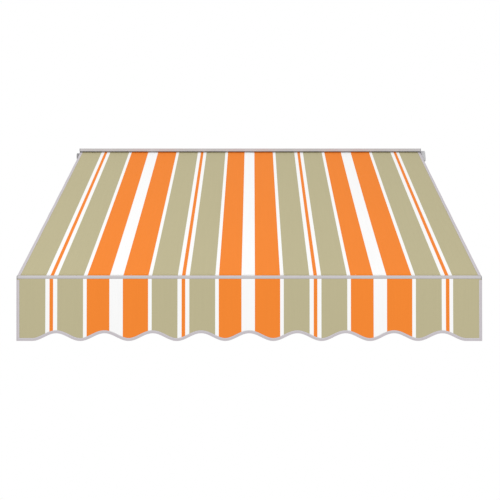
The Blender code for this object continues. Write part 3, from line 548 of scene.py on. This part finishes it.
@dataclass(frozen=True)
class Skin:
    """A plain-coloured skin that is uneven at a fine and at a broad scale."""

    tint: Colour
    fine: Grain
    broad: Grain
    brightness: float
    roughness: float
    relief: float
    relief_strength: float
    uniform: Uniform = ()

    def fine_field(self, surface: Surface) -> Field:
        """The fine unevenness."""
        return surface.noise(self.fine.scale, self.fine.detail)

    def build(self, name: str) -> Material:
        """The skin's material."""
        surface = Surface(name, **dict(self.uniform))
        fine = self.fine_field(surface)
        broad = surface.noise(self.broad.scale, self.broad.detail)
        shade = self.brightness + fine.swing(self.fine.shade) + broad.swing(self.broad.shade)
        surface.colour(surface.shaded(self.tint, shade))
        surface.roughness(self.roughness + self.fine.roughness * fine + self.broad.roughness * broad)
        surface.relief(self.raised(fine, broad), self.relief, self.relief_strength)
        return surface.material

    def raised(self, fine: Field, broad: Field) -> Field:
        """The unevenness that can be felt."""
        return fine


@dataclass(frozen=True)
class CoatedMetal(Skin):
    """Powder-coated metal: a fine orange-peel skin under a little dust."""

    tint: Colour = (0.57, 0.545, 0.56)
    fine: Grain = Grain(900.0, 2.0, 0.02, 0.04)
    broad: Grain = Grain(9.0, 4.0, 0.07, 0.10)
    brightness: float = 0.97
    roughness: float = 0.38
    relief: float = 0.00008
    relief_strength: float = 0.35
    uniform: Uniform = (("Coat_Weight", 0.15), ("Coat_Roughness", 0.3))


@dataclass(frozen=True)
class CastMetal(Skin):
    """Die-cast aluminium: a dull skin with fine pits and patches."""

    tint: Colour = (0.60, 0.60, 0.615)
    fine: Grain = Grain(650.0, 3.0, 0.05, 0.0)
    broad: Grain = Grain(35.0, 4.0, 0.10, 0.16)
    brightness: float = 0.98
    roughness: float = 0.38
    relief: float = 0.00020
    relief_strength: float = 0.4
    uniform: Uniform = (("Metallic", 0.35),)


@dataclass(frozen=True)
class ZincedSteel(Skin):
    """Zinc-plated steel: its crystal pattern and the smears of handling."""

    tint: Colour = (0.56, 0.57, 0.59)
    fine: Grain = Grain(140.0, 0.0, 0.16, 0.12)
    broad: Grain = Grain(60.0, 3.0, 0.10, 0.10)
    brightness: float = 0.96
    roughness: float = 0.24
    relief: float = 0.00006
    relief_strength: float = 0.25
    uniform: Uniform = (("Metallic", 0.9),)

    def fine_field(self, surface: Surface) -> Field:
        """The crystals, by the distance from the middle of each."""
        inputs = {"Vector": surface.position, "Scale": self.fine.scale}
        cells = surface.node("ShaderNodeTexVoronoi", inputs=inputs)
        return Field(surface.tree, cells.outputs["Distance"])

    def raised(self, fine: Field, broad: Field) -> Field:
        """Only the smears can be felt."""
        return broad


@dataclass(frozen=True)
class MouldedPlastic(Skin):
    """Grey moulded plastic: a fine spark-eroded grain and a faint bloom."""

    tint: Colour = (0.33, 0.325, 0.34)
    fine: Grain = Grain(1100.0, 1.0, 0.05, 0.08)
    broad: Grain = Grain(18.0, 3.0, 0.12, 0.06)
    brightness: float = 0.95
    roughness: float = 0.46
    relief: float = 0.00010
    relief_strength: float = 0.4
    uniform: Uniform = (("Specular_IOR_Level", 0.45),)


@dataclass(frozen=True)
class WoundSteel:
    """A close-wound spring or a stranded cable: bands round its length, with painted shade in the gaps
    between them.
    """

    direction: Vector
    pitch: float = 0.004
    tint: Colour = (0.33, 0.33, 0.345)
    # Painted shade: the brightness drawn in the gaps between coils.
    painted_gap_shade: float = 0.55
    fullness: float = 0.6
    roughness: float = 0.28
    gap_roughness: float = 0.3
    relief_strength: float = 0.8

    def build(self, name: str) -> Material:
        """The steel's material."""
        surface = Surface(name, Metallic=0.95)
        way = self.direction
        bands = (surface.x * way.x + surface.y * way.y + surface.z * way.z).sine(self.pitch).raised()
        # Painted shade: darker in the gaps between coils, full colour on their crowns.
        shade = self.painted_gap_shade + (1.0 - self.painted_gap_shade) * bands.power(self.fullness)
        surface.colour(surface.shaded(self.tint, shade))
        surface.roughness(self.roughness + self.gap_roughness * (1.0 - bands))
        surface.relief(bands, self.pitch / 4, self.relief_strength)
        return surface.material


def down_slope(surface: Surface) -> Field:
    """Distance along the canopy's warp."""
    out = LAYOUT.out
    return surface.y * out.y + surface.z * out.z


def down(surface: Surface) -> Field:
    """Distance along the valance's warp."""
    return surface.z * -1.0


class Finishes:
    """Every material, made once."""

    def __init__(self) -> None:
        self.canopy = StripedCloth().build("canopy cloth", down_slope)
        self.valance = StripedCloth().build("valance cloth", down)
        self.tape = EdgeTapeCloth().build("edge tape")
        self.coated = CoatedMetal().build("coated metal")
        self.cast = CastMetal().build("cast metal")
        self.zinced = ZincedSteel().build("zinced steel")
        self.plastic = MouldedPlastic().build("moulded plastic")
        self.springs = {
            side: WoundSteel(LAYOUT.arm(side, True)[1]).build("wound steel " + side.word) for side in Side
        }

    def of(self, node: str) -> Material:
        """The material of a carried-over piece, by its name."""
        if "spring" in node or "cable" in node:
            return self.springs[Side.LEFT if node.endswith("left") else Side.RIGHT]
        if any(word in node for word in ("pin_", "crank_eye", "roller_tube")):
            return self.zinced
        if any(word in node for word in ("cap_", "bearing", "plug", "hem_rod")):
            return self.plastic
        if any(word in node for word in CAST):
            return self.cast
        return self.coated


def add_object(name: str, data: ID) -> Object:
    """Puts a mesh, lamp or camera into the scene as an object."""
    item = bpy.data.objects.new(name, data)
    bpy.context.scene.collection.objects.link(item)
    return item


def loft(name: str, rows: Sequence[Sequence[Vector]], ring: bool = False) -> Object:
    """A surface through rows of points.

    Args:
        name: the piece's name.
        rows: rows of the same length.
        ring: whether each row closes on itself.

    Returns:
        The new object, smooth shaded.
    """
    mesh = bpy.data.meshes.new(name)
    count = len(rows[0])
    points = [tuple(p) for row in rows for p in row]
    last = count if ring else count - 1
    faces = []
    for i in range(len(rows) - 1):
        for k in range(last):
            after = (k + 1) % count
            faces.append((i * count + k, i * count + after, (i + 1) * count + after, (i + 1) * count + k))
    mesh.from_pydata(points, [], faces)
    mesh.update()
    mesh.shade_smooth()
    return add_object(name, mesh)


def settle(item: Object, material: Material, slot: str, body: str, *stands_for: str) -> None:
    """Gives a finished piece its material and its body, and hides the nodes that it stands for.

    Args:
        item: the piece, in its place.
        material: what it is made of.
        slot: the record's material slot; not used.
        body: the body that it rides on.
        stands_for: the nodes that it replaces.
    """
    item.data.materials.append(material)
    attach(item, body)
    if stands_for:
        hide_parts(*stands_for)
    log.info("%s rides on %s", item.name, body)


def thicken(item: Object, thickness: float) -> None:
    """Gives a surface its thickness, half to each side."""
    step = item.modifiers.new("thickness", "SOLIDIFY")
    step.thickness = thickness
    step.offset = 0.0


def spread(low: float, high: float, count: int) -> list[float]:
    """Even values from low to high, both kept."""
    return [low + (high - low) * i / count for i in range(count + 1)]


def turned(radius: float, angle: float) -> Vector:
    """An offset from a line along the awning, turned from the wall's side upward."""
    return Vector((0.0, radius * cos(angle), radius * sin(angle)))


@dataclass
class Canopy:
    """The stretched cloth: the free sheet, the turns on the roller and the hem in the bar."""

    finishes: Finishes
    sag: float = 0.004
    edge_hold: float = 0.7
    ripple: float = 0.0007
    ripple_pitch: float = 0.21
    ripple_fade: float = 0.07
    columns: int = 112
    rows: int = 64
    roll_steps: int = 96
    hem_steps: int = 20
    hem_lead: int = 3
    hem_clear: float = 0.0002

    def lift(self, along: float, x: float) -> float:
        """How far the cloth hangs from its flat plane, negative down."""
        share = along / LAYOUT.sheet_length
        edge = abs(x) / LAYOUT.half
        hollow = -4.0 * self.sag * share * (1.0 - share) * (1.0 - self.edge_hold * edge ** 4)
        near = exp(-(LAYOUT.half - abs(x)) / self.ripple_fade)
        fade = sin(pi * min(max(share, 0.0), 1.0))
        return hollow + self.ripple * near * fade * sin(2 * pi * along / self.ripple_pitch)

    def point(self, along: float, x: float, over: float = 0.0) -> Vector:
        """A point of the sagging sheet."""
        return LAYOUT.sheet(along, self.lift(along, x) + over) + Vector((x, 0.0, 0.0))

    def build(self) -> None:
        sheet = self._sheet()
        self._roll()
        hem = self._hem()
        tapes = [self._tape(side) for side in Side]
        size = (2 * LAYOUT.half, LAYOUT.sheet_length)
        log.info("canopy sheet %.3f by %.3f m, keep %.4f", *size, LAYOUT.keep)

    def _sheet(self) -> Object:
        across = spread(-LAYOUT.half, LAYOUT.half, self.columns)
        stations = spread(0.0, LAYOUT.sheet_length, self.rows)
        sheet = loft("canopy_sheet", [[self.point(along, x) for x in across] for along in stations])
        thicken(sheet, LAYOUT.cloth)
        settle(sheet, self.finishes.canopy, "striped_cloth", "frame", "canopy")
        self._wind_in(sheet)
        return sheet

    @staticmethod
    def _wind_in(item: Object) -> None:
        tuple(LAYOUT.sheet(0.0))
        LAYOUT.keep
        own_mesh(item)

    def _roll(self) -> None:
        start = LAYOUT.slope + pi / 2
        rows = []
        for i in range(self.roll_steps + 1):
            back = LAYOUT.turns * (1.0 - i / self.roll_steps)
            radius = LAYOUT.sheet_radius - back * LAYOUT.turn_pitch
            angle = start - 2 * pi * back
            middle = LAYOUT.roller + turned(radius, angle)
            rows.append([middle + Vector((x, 0.0, 0.0)) for x in (-LAYOUT.half, 0.0, LAYOUT.half)])
        roll = loft("canopy_roll", rows)
        thicken(roll, LAYOUT.cloth)
        settle(roll, self.finishes.canopy, "striped_cloth", "frame")

    def _hem(self) -> Object:
        start = LAYOUT.slope + pi / 2
        middle, radius = LAYOUT.hem, LAYOUT.hem_radius
        lead = spread(LAYOUT.sheet_length + self.hem_clear, LAYOUT.hem_along, self.hem_lead)
        path = [LAYOUT.sheet(along) for along in lead]
        for angle in spread(start, start + LAYOUT.hem_wrap, self.hem_steps)[1:]:
            path.append(middle + turned(radius, angle))
        across = [Vector((x, 0.0, 0.0)) for x in (-LAYOUT.groove_half, 0.0, LAYOUT.groove_half)]
        hem = loft("canopy_hem", [[p + aside for aside in across] for p in path])
        thicken(hem, LAYOUT.cloth)
        settle(hem, self.finishes.canopy, "striped_cloth", "front")
        return hem

    def _tape(self, side: Side) -> Object:
        outer = LAYOUT.half + LAYOUT.clearance + LAYOUT.tape
        section = [(side.value * (outer - d), over) for d, over in LAYOUT.tape_section]
        stations = spread(2 * LAYOUT.groove_radius, LAYOUT.sheet_length, self.rows)
        rows = [[self.point(along, x, over) for x, over in section] for along in stations]
        item = tape_strip("canopy_edge_" + side.word, rows, stations)
        settle(item, self.finishes.tape, "edge_tape", "frame", "canopy_tape_" + side.word)
        self._wind_in(item)
        return item


def cap_ends(bm: BMesh, count: int) -> None:
    """Closes both ends of a tube of rings, each of count points, and turns its faces outward."""
    bm.verts.ensure_lookup_table()
    for ring in (bm.verts[:count], bm.verts[-count:]):
        bm.faces.new(ring)
    bmesh.ops.recalc_face_normals(bm, faces=bm.faces)
    if bm.calc_volume(signed=True) < 0.0:
        bmesh.ops.reverse_faces(bm, faces=bm.faces)


def tape_strip(name: str, rows: list[list[Vector]], along: list[float]) -> Object:
    """A folded tape, mapped in metres along it and in from its fold.

    Args:
        name: the piece's name.
        rows: the tape's section at each station, point by point as LAYOUT.tape_section.
        along: distance along the tape at each station.

    Returns:
        The closed solid.
    """
    item = loft(name, rows, ring=True)
    across = [d for d, _ in LAYOUT.tape_section]
    bm = bmesh.new()
    bm.from_mesh(item.data)
    layer = bm.loops.layers.uv.new(TAPE_MAP)
    cap_ends(bm, len(across))
    for face in bm.faces:
        for corner in face.loops:
            station, point = divmod(corner.vert.index, len(across))
            corner[layer].uv = (along[station], across[point])
    bm.to_mesh(item.data)
    bm.free()
    item.data.shade_flat()
    return item


@dataclass
class Valance:
    """The cloth that hangs from the front bar, with its wavy hem and the tape over it."""

    finishes: Finishes
    swing: float = 0.006
    swing_growth: float = 1.6
    folds: tuple[Triple, ...] = ((0.55, 0.406, 0.6), (0.3, 0.27, 2.0), (0.15, 0.131, 0.0))
    columns: int = 270
    rows: int = 26
    hem_steps: int = 20
    bend_steps: int = 4
    side_steps: int = 12
    seam: float = 0.01

    @property
    def hang(self) -> float:
        """The y of the cloth's plane."""
        return LAYOUT.front_face - LAYOUT.valance_gap - LAYOUT.solid_cloth / 2

    @property
    def top(self) -> float:
        """The height at which the cloth leaves its groove."""
        return LAYOUT.valance_hem.z + LAYOUT.hem_radius

    @property
    def low(self) -> float:
        """The lowest height of the cut cloth."""
        return self.top - LAYOUT.valance_drop + LAYOUT.clearance + LAYOUT.tape

    def edge(self, x: float) -> float:
        """The height of the wavy hem."""
        reach = LAYOUT.waves * LAYOUT.wave_pitch / 2
        if abs(x) >= reach:
            return self.low
        return self.low + LAYOUT.wave_height / 2 * (1 + cos(2 * pi * x / LAYOUT.wave_pitch))

    def drift(self, x: float, z: float) -> float:
        """How far the cloth swings forward of its plane, at most 0."""
        share = min(1.0, max(0.0, (self.top - z) / (self.top - self.low)))
        folds = sum(size * sin(2 * pi * x / pitch + phase) for size, pitch, phase in self.folds)
        return -self.swing * share ** self.swing_growth * (0.5 + 0.5 * folds)

    def point(self, x: float, z: float, over: float = 0.0) -> Vector:
        """A point of the hanging cloth."""
        return Vector((x, self.hang + self.drift(x, z) + over, z))

    def build(self) -> None:
        bend = LAYOUT.valance_bend
        path = self._groove_path()
        for angle in spread(pi / 2, pi, self.bend_steps):
            y = self.hang + bend * (1 + cos(angle))
            path.append(Vector((y, self.top - bend * (1 - sin(angle)))))
        shares = spread(-1.0, 1.0, self.columns)
        rows = [[Vector((share * LAYOUT.groove_half, y, z)) for share in shares] for y, z in path]
        xs = [share * LAYOUT.half for share in shares]
        start = path[-1].y
        for share in spread(0.0, 1.0, self.rows)[1:]:
            rows.append([self.point(x, start + (self.edge(x) - start) * share) for x in xs])
        cloth = loft("valance_cloth", rows)
        thicken(cloth, LAYOUT.cloth)
        settle(cloth, self.finishes.valance, "striped_cloth", "front", "valance")
        tape = self._tape()

    def _groove_path(self) -> list[Vector]:
        angles = spread(pi / 2 - LAYOUT.hem_wrap, pi / 2, self.hem_steps)
        return [(LAYOUT.valance_hem + turned(LAYOUT.hem_radius, angle)).yz for angle in angles]

    @staticmethod
    def _area(rows: list[list[Vector]]) -> float:
        total = 0.0
        for near, far in zip(rows, rows[1:]):
            for k in range(len(near) - 1):
                total += (near[k + 1] - far[k]).cross(far[k + 1] - near[k]).length / 2
        return total

    def _tape(self) -> Object:
        half = LAYOUT.half
        top = self.top - LAYOUT.hem_radius
        path = [(-half, z) for z in spread(top, self.low, self.side_steps)]
        path += [(x, self.edge(x)) for x in spread(-half, half, self.columns)[1:-1]]
        path += [(half, z) for z in spread(self.low, top, self.side_steps)]
        edge = [Vector(place) for place in path]
        along = [0.0]
        for near, far in zip(edge, edge[1:]):
            along.append(along[-1] + (far - near).length)
        section = [(d - LAYOUT.clearance - LAYOUT.tape, over) for d, over in LAYOUT.tape_section]
        rows = []
        for i, place in enumerate(edge):
            inward = self._inward(edge, i)
            rows.append([self.point(*(place + inward * d), over) for d, over in section])
        item = tape_strip("valance_edge", rows, along)
        settle(item, self.finishes.tape, "edge_tape", "front", "valance_tape")
        return item

    @staticmethod
    def _inward(edge: list[Vector], i: int) -> Vector:
        last = len(edge) - 1
        before = (edge[max(i, 1)] - edge[max(i - 1, 0)]).normalized()
        after = (edge[min(i + 1, last)] - edge[min(i, last - 1)]).normalized()
        both = before + after
        return Vector((-both.y, both.x)) * (2 / both.length_squared)


@dataclass(frozen=True)
class Screw:
    """One kind of fastener as rings of radius, height and whether the ring is a hexagon."""

    rings: tuple[Ring, ...]
    sides: int = 24

    @classmethod
    def hexagon(cls, radius: float, height: float, washer_radius: float, washer: float) -> "Screw":
        """A hexagon bolt on its washer.

        Args:
            radius: the head's corner radius.
            height: the head's height.
            washer_radius: the washer's radius.
            washer: the washer's thickness.

        Returns:
            The fastener.
        """
        top = washer + height
        head = ((radius, washer, True), (radius, washer + 0.8 * height, True), (0.8 * radius, top, False))
        return cls(((washer_radius, 0.0, False), (washer_radius, washer, False), *head))

    @classmethod
    def socket(cls, radius: float, height: float, key: float) -> "Screw":
        """A low round head with a hexagon socket of the key's corner radius."""
        head = ((radius, 0.0, False), (radius, 0.6 * height, False), (0.82 * radius, height, False))
        return cls((*head, (key, height, True), (key, 0.35 * height, True)))

    def add(self, bm: BMesh, place: Vector, way: Vector) -> None:
        """Adds one fastener to a mesh, standing on a place and pointing a way."""
        spot = Matrix.Translation(place) @ way.to_track_quat("Z", "Y").to_matrix().to_4x4()
        loops = []
        for radius, height, hexagonal in self.rings:
            loop = []
            for k in range(self.sides):
                angle = 2 * pi * k / self.sides
                sector = (angle + pi / 6) % (pi / 3) - pi / 6
                reach = radius * cos(pi / 6) / cos(sector) if hexagonal else radius
                point = Vector((reach * cos(angle), reach * sin(angle), height))
                loop.append(bm.verts.new(spot @ point))
            loops.append(loop)
        for low, high in zip(loops, loops[1:]):
            for k in range(self.sides):
                bm.faces.new((low[k - 1], low[k], high[k], high[k - 1]))
        bm.faces.new(loops[0][::-1])
        bm.faces.new(loops[-1])


@dataclass
class Fasteners:
    """The bolts and screws that hold the hardware together."""

    finishes: Finishes
    wall_bolt: Screw = Screw.hexagon(0.0075, 0.0055, 0.0110, 0.0016)
    clamp_bolt: Screw = Screw.hexagon(0.0058, 0.0042, 0.0085, 0.0014)
    cap_screw: Screw = Screw.socket(0.0038, 0.0018, 0.0018)
    housing_screw: Screw = Screw.socket(0.0045, 0.0032, 0.0022)
    arm_screw: Screw = Screw.socket(0.0042, 0.0018, 0.0020)
    wall_aside: float = 0.028
    wall_rise: float = 0.061
    clamp_aside: float = 0.030
    shoulder_aside: float = 0.018
    hood_inset: float = 0.008
    hood_drops: tuple[float, float] = (0.016, 0.010)
    front_rises: tuple[float, float] = (0.012, 0.050)
    housing_reach: float = 0.028
    housing_turns: tuple[float, ...] = (20.0, 75.0, 290.0, 340.0)
    arm_insets: tuple[float, float] = (0.012, 0.028)

    def build(self) -> None:
        """Makes each group on the body that carries it."""
        for side in Side:
            word = side.word
            self._group("wall_bolts_" + word, "frame", self.wall_bolt, self._wall(word))
            clamp = self._on_top("bracket_clamp_" + word, self.clamp_aside)
            self._group("clamp_bolts_" + word, "frame", self.clamp_bolt, clamp)
            shoulder = self._on_top("shoulder_bracket_" + word, self.shoulder_aside, "torsion_bar")
            self._group("shoulder_bolts_" + word, "frame", self.clamp_bolt, shoulder)
            self._group("hood_cap_screws_" + word, "frame", self.cap_screw, self._hood_cap(side))
            self._group("front_cap_screws_" + word, "front", self.cap_screw, self._front_cap(side))
            self._group("upper_arm_screws_" + word, "upper_" + word, self.arm_screw, self._arm(side, True))
            self._group("forearm_screws_" + word, "fore_" + word, self.arm_screw, self._arm(side, False))
        self._group("gear_housing_screws", "frame", self.housing_screw, self._housing())

    def _group(self, name: str, body: str, screw: Screw, spots: Iterable[Spot]) -> None:
        bm = bmesh.new()
        for place, way in spots:
            screw.add(bm, place, way)
        mesh = bpy.data.meshes.new(name)
        bm.to_mesh(mesh)
        bm.free()
        settle(add_object(name, mesh), self.finishes.zinced, "zinc_steel", body)

    @staticmethod
    def _corners(node: str) -> tuple[Vector, Vector, Vector]:
        low, high = (Vector(corner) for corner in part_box(node))
        return low, high, (low + high) / 2

    def _wall(self, word: str) -> list[Spot]:
        x = self._corners("wall_bracket_" + word)[2].x
        columns = (x - self.wall_aside, x + self.wall_aside)
        places = [(at, -LAYOUT.plate, z) for at in columns for z in (-self.wall_rise, self.wall_rise)]
        return [(Vector(place), Vector((0.0, -1.0, 0.0))) for place in places]

    def _on_top(self, node: str, aside: float, line: str = "") -> list[Spot]:
        _, high, middle = self._corners(node)
        y = self._corners(line or node)[2].y
        return [(Vector((middle.x + dx, y, high.z)), Vector((0.0, 0.0, 1.0))) for dx in (-aside, aside)]

    def _end_face(self, node: str, side: Side, places: Iterable[tuple[float, float]]) -> list[Spot]:
        low, high, _ = self._corners(node)
        x = high.x if side is Side.RIGHT else low.x
        return [(Vector((x, y, z)), Vector((side.value, 0.0, 0.0))) for y, z in places]

    def _hood_cap(self, side: Side) -> list[Spot]:
        node = "hood_cap_" + side.word
        low, high, _ = self._corners(node)
        depths = (low.y + self.hood_inset, high.y - self.hood_inset)
        return self._end_face(node, side, zip(depths, (high.z - drop for drop in self.hood_drops)))

    def _front_cap(self, side: Side) -> list[Spot]:
        node = "front_bar_cap_" + side.word
        low, _, middle = self._corners(node)
        return self._end_face(node, side, [(middle.y, low.z + rise) for rise in self.front_rises])

    def _housing(self) -> list[Spot]:
        turns = (turned(self.housing_reach, radians(turn)) for turn in self.housing_turns)
        return self._end_face("gear_housing", Side.RIGHT, [(LAYOUT.roller + turn).yz for turn in turns])

    def _arm(self, side: Side, upper: bool) -> list[Spot]:
        pivot, body = LAYOUT.arm(side, upper)
        lift = LAYOUT.normal * (LAYOUT.arm_height / 2)
        stations = [LAYOUT.arm_start + inset for inset in self.arm_insets]
        stations += [LAYOUT.arm_end - inset for inset in self.arm_insets]
        faces = [(lift * way, LAYOUT.normal * way) for way in (1, -1)]
        return [(pivot + body * along + rise, out) for along in stations for rise, out in faces]


@dataclass
class ElbowCable:
    """The stranded cable that the spring pulls over the elbow."""

    finishes: Finishes
    radius: float = 0.0025
    strands: int = 6
    lay: float = 0.022
    hollow: float = 0.82
    bulge: float = 0.16
    stations: int = 90
    sides: int = 24
    corner: float = 0.012

    def build(self) -> None:
        """Makes both cables, each bent round its elbow."""
        for side in Side:
            self._cable(side)

    def _route(self, side: Side) -> tuple[list[Vector], Vector, Vector]:
        pivot, body = LAYOUT.arm(side, True)
        _, back = LAYOUT.arm(side, False)
        low, high = (Vector(c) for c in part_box("tension_cable_" + side.word))
        middle = pivot + body * (LAYOUT.body_length + LAYOUT.elbow_offset * tan(LAYOUT.tilt))
        begin = middle - body * ((middle.y - high.y) / body.y)
        finish = middle - back * ((middle.y - low.y) / back.y)
        first = middle - body * self.corner
        last = middle - back * self.corner
        count = self.stations // 3
        points = [begin.lerp(first, i / count) for i in range(count)]
        for i in range(count):
            t = i / count
            points.append(first * (1 - t) ** 2 + middle * (2 * t * (1 - t)) + last * t ** 2)
        points += [last.lerp(finish, i / count) for i in range(count + 1)]
        return points, first, last

    def _cable(self, side: Side) -> None:
        points, first, last = self._route(side)
        up = LAYOUT.normal
        run = 0.0
        rows = []
        for i, point in enumerate(points):
            along = (points[min(i + 1, len(points) - 1)] - points[max(i - 1, 0)]).normalized()
            beside = along.cross(up)
            run += (point - points[i - 1]).length if i else 0.0
            row = []
            for k in range(self.sides):
                angle = 2 * pi * k / self.sides
                bump = abs(cos(self.strands / 2 * angle + pi * self.strands * run / self.lay))
                radius = self.radius * (self.hollow + self.bulge * bump)
                row.append(point + beside * (radius * cos(angle)) + up * (radius * sin(angle)))
            rows.append(row)
        item = loft("elbow_cable_" + side.word, rows, ring=True)
        bm = bmesh.new()
        bm.from_mesh(item.data)
        cap_ends(bm, self.sides)
        bm.to_mesh(item.data)
        bm.free()
        item.data.materials.append(self.finishes.springs[side])
        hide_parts("tension_cable_" + side.word)
        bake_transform(item)
        log.info("%s bends with its elbow", item.name)


@dataclass(frozen=True)
class Lamp:
    """A square lamp, aimed at the awning's middle."""

    name: str
    place: Triple
    size: float
    power: float
    target: Triple = (0.0, -0.8, -0.4)

    def build(self) -> None:
        """Hangs the lamp."""
        lamp = bpy.data.lights.new(self.name, "AREA")
        lamp.size = self.size
        lamp.energy = self.power
        item = add_object(self.name, lamp)
        item.location = self.place
        way = Vector(self.target) - Vector(self.place)
        item.rotation_euler = way.to_track_quat("-Z", "Y").to_euler()
        log.info("lamp %s", self.name)


@dataclass
class Studio:
    """Camera, light and the white surroundings."""

    distance: float = 3.712
    camera_x: float = 0.0154
    camera_rise: float = 0.1199
    shift: float = -0.0058
    lens: float = 63.47
    sensor: float = 36.0
    daylight: float = 0.82
    lamps: tuple[Lamp, ...] = (
        Lamp("key", (-2.4, -4.2, 3.2), 2.6, 60.0),
        Lamp("fill", (3.0, -4.6, 0.4), 3.0, 22.0),
    )

    def build(self) -> None:
        """Places the camera and lights the awning evenly."""
        scene = bpy.context.scene
        scene.view_settings.view_transform = "Standard"
        camera = bpy.data.cameras.new("camera")
        camera.lens = self.lens
        camera.sensor_width = self.sensor
        camera.shift_x = self.shift
        holder = add_object("camera", camera)
        fold = (LAYOUT.hem.z + LAYOUT.valance_hem.z) / 2
        holder.location = (self.camera_x, LAYOUT.front_face - self.distance, fold + self.camera_rise)
        holder.rotation_euler = (pi / 2, 0.0, 0.0)
        scene.camera = holder
        scene.world = self._world()
        for lamp in self.lamps:
            lamp.build()

    def _world(self) -> World:
        world = bpy.data.worlds.new("studio")
        world.use_nodes = True
        world.node_tree.nodes.clear()
        nodes = Nodes(world.node_tree)
        white = (1.0, 1.0, 1.0, 1.0)
        path = nodes.node("ShaderNodeLightPath")
        seen, light = (
            nodes.node("ShaderNodeBackground", inputs={"Color": white, "Strength": strength})
            for strength in (1.0, self.daylight)
        )
        ends = {0: path.outputs["Is Camera Ray"], 1: light.outputs[0], 2: seen.outputs[0]}
        mix = nodes.node("ShaderNodeMixShader", inputs=ends)
        nodes.node("ShaderNodeOutputWorld", inputs={"Surface": mix.outputs[0]})
        return world


@dataclass
class Frame:
    """The carried-over hardware, each piece with its finish."""

    finishes: Finishes
    cast_edge: float = 0.0010
    plate_edge: float = 0.0006
    same_point: float = 0.00001
    sharp: float = radians(50.0)

    def build(self) -> None:
        """Gives every node of the frame its material, and the cast pieces and plates their eased edges."""
        for name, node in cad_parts.items():
            node.data.materials.clear()
            node.data.materials.append(self.finishes.of(name))
            if any(word in name for word in CAST):
                self._ease(node, self.cast_edge)
            elif any(word in name for word in PLATE):
                self._ease(node, self.plate_edge)
        log.info("%d carried-over pieces", len(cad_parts))

    def _ease(self, node: Object, width: float) -> None:
        weld = node.modifiers.new("one skin", "WELD")
        weld.merge_threshold = self.same_point
        step = node.modifiers.new("eased edges", "BEVEL")
        step.width = width
        step.segments = 2
        step.limit_method = "ANGLE"
        step.angle_limit = self.sharp


def main() -> None:
    """Builds the whole awning and its studio."""
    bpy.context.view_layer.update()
    finishes = Finishes()
    Frame(finishes).build()
    Canopy(finishes).build()
    Valance(finishes).build()
    Fasteners(finishes).build()
    ElbowCable(finishes).build()
    Studio().build()


if __name__ == "__main__":
    main()
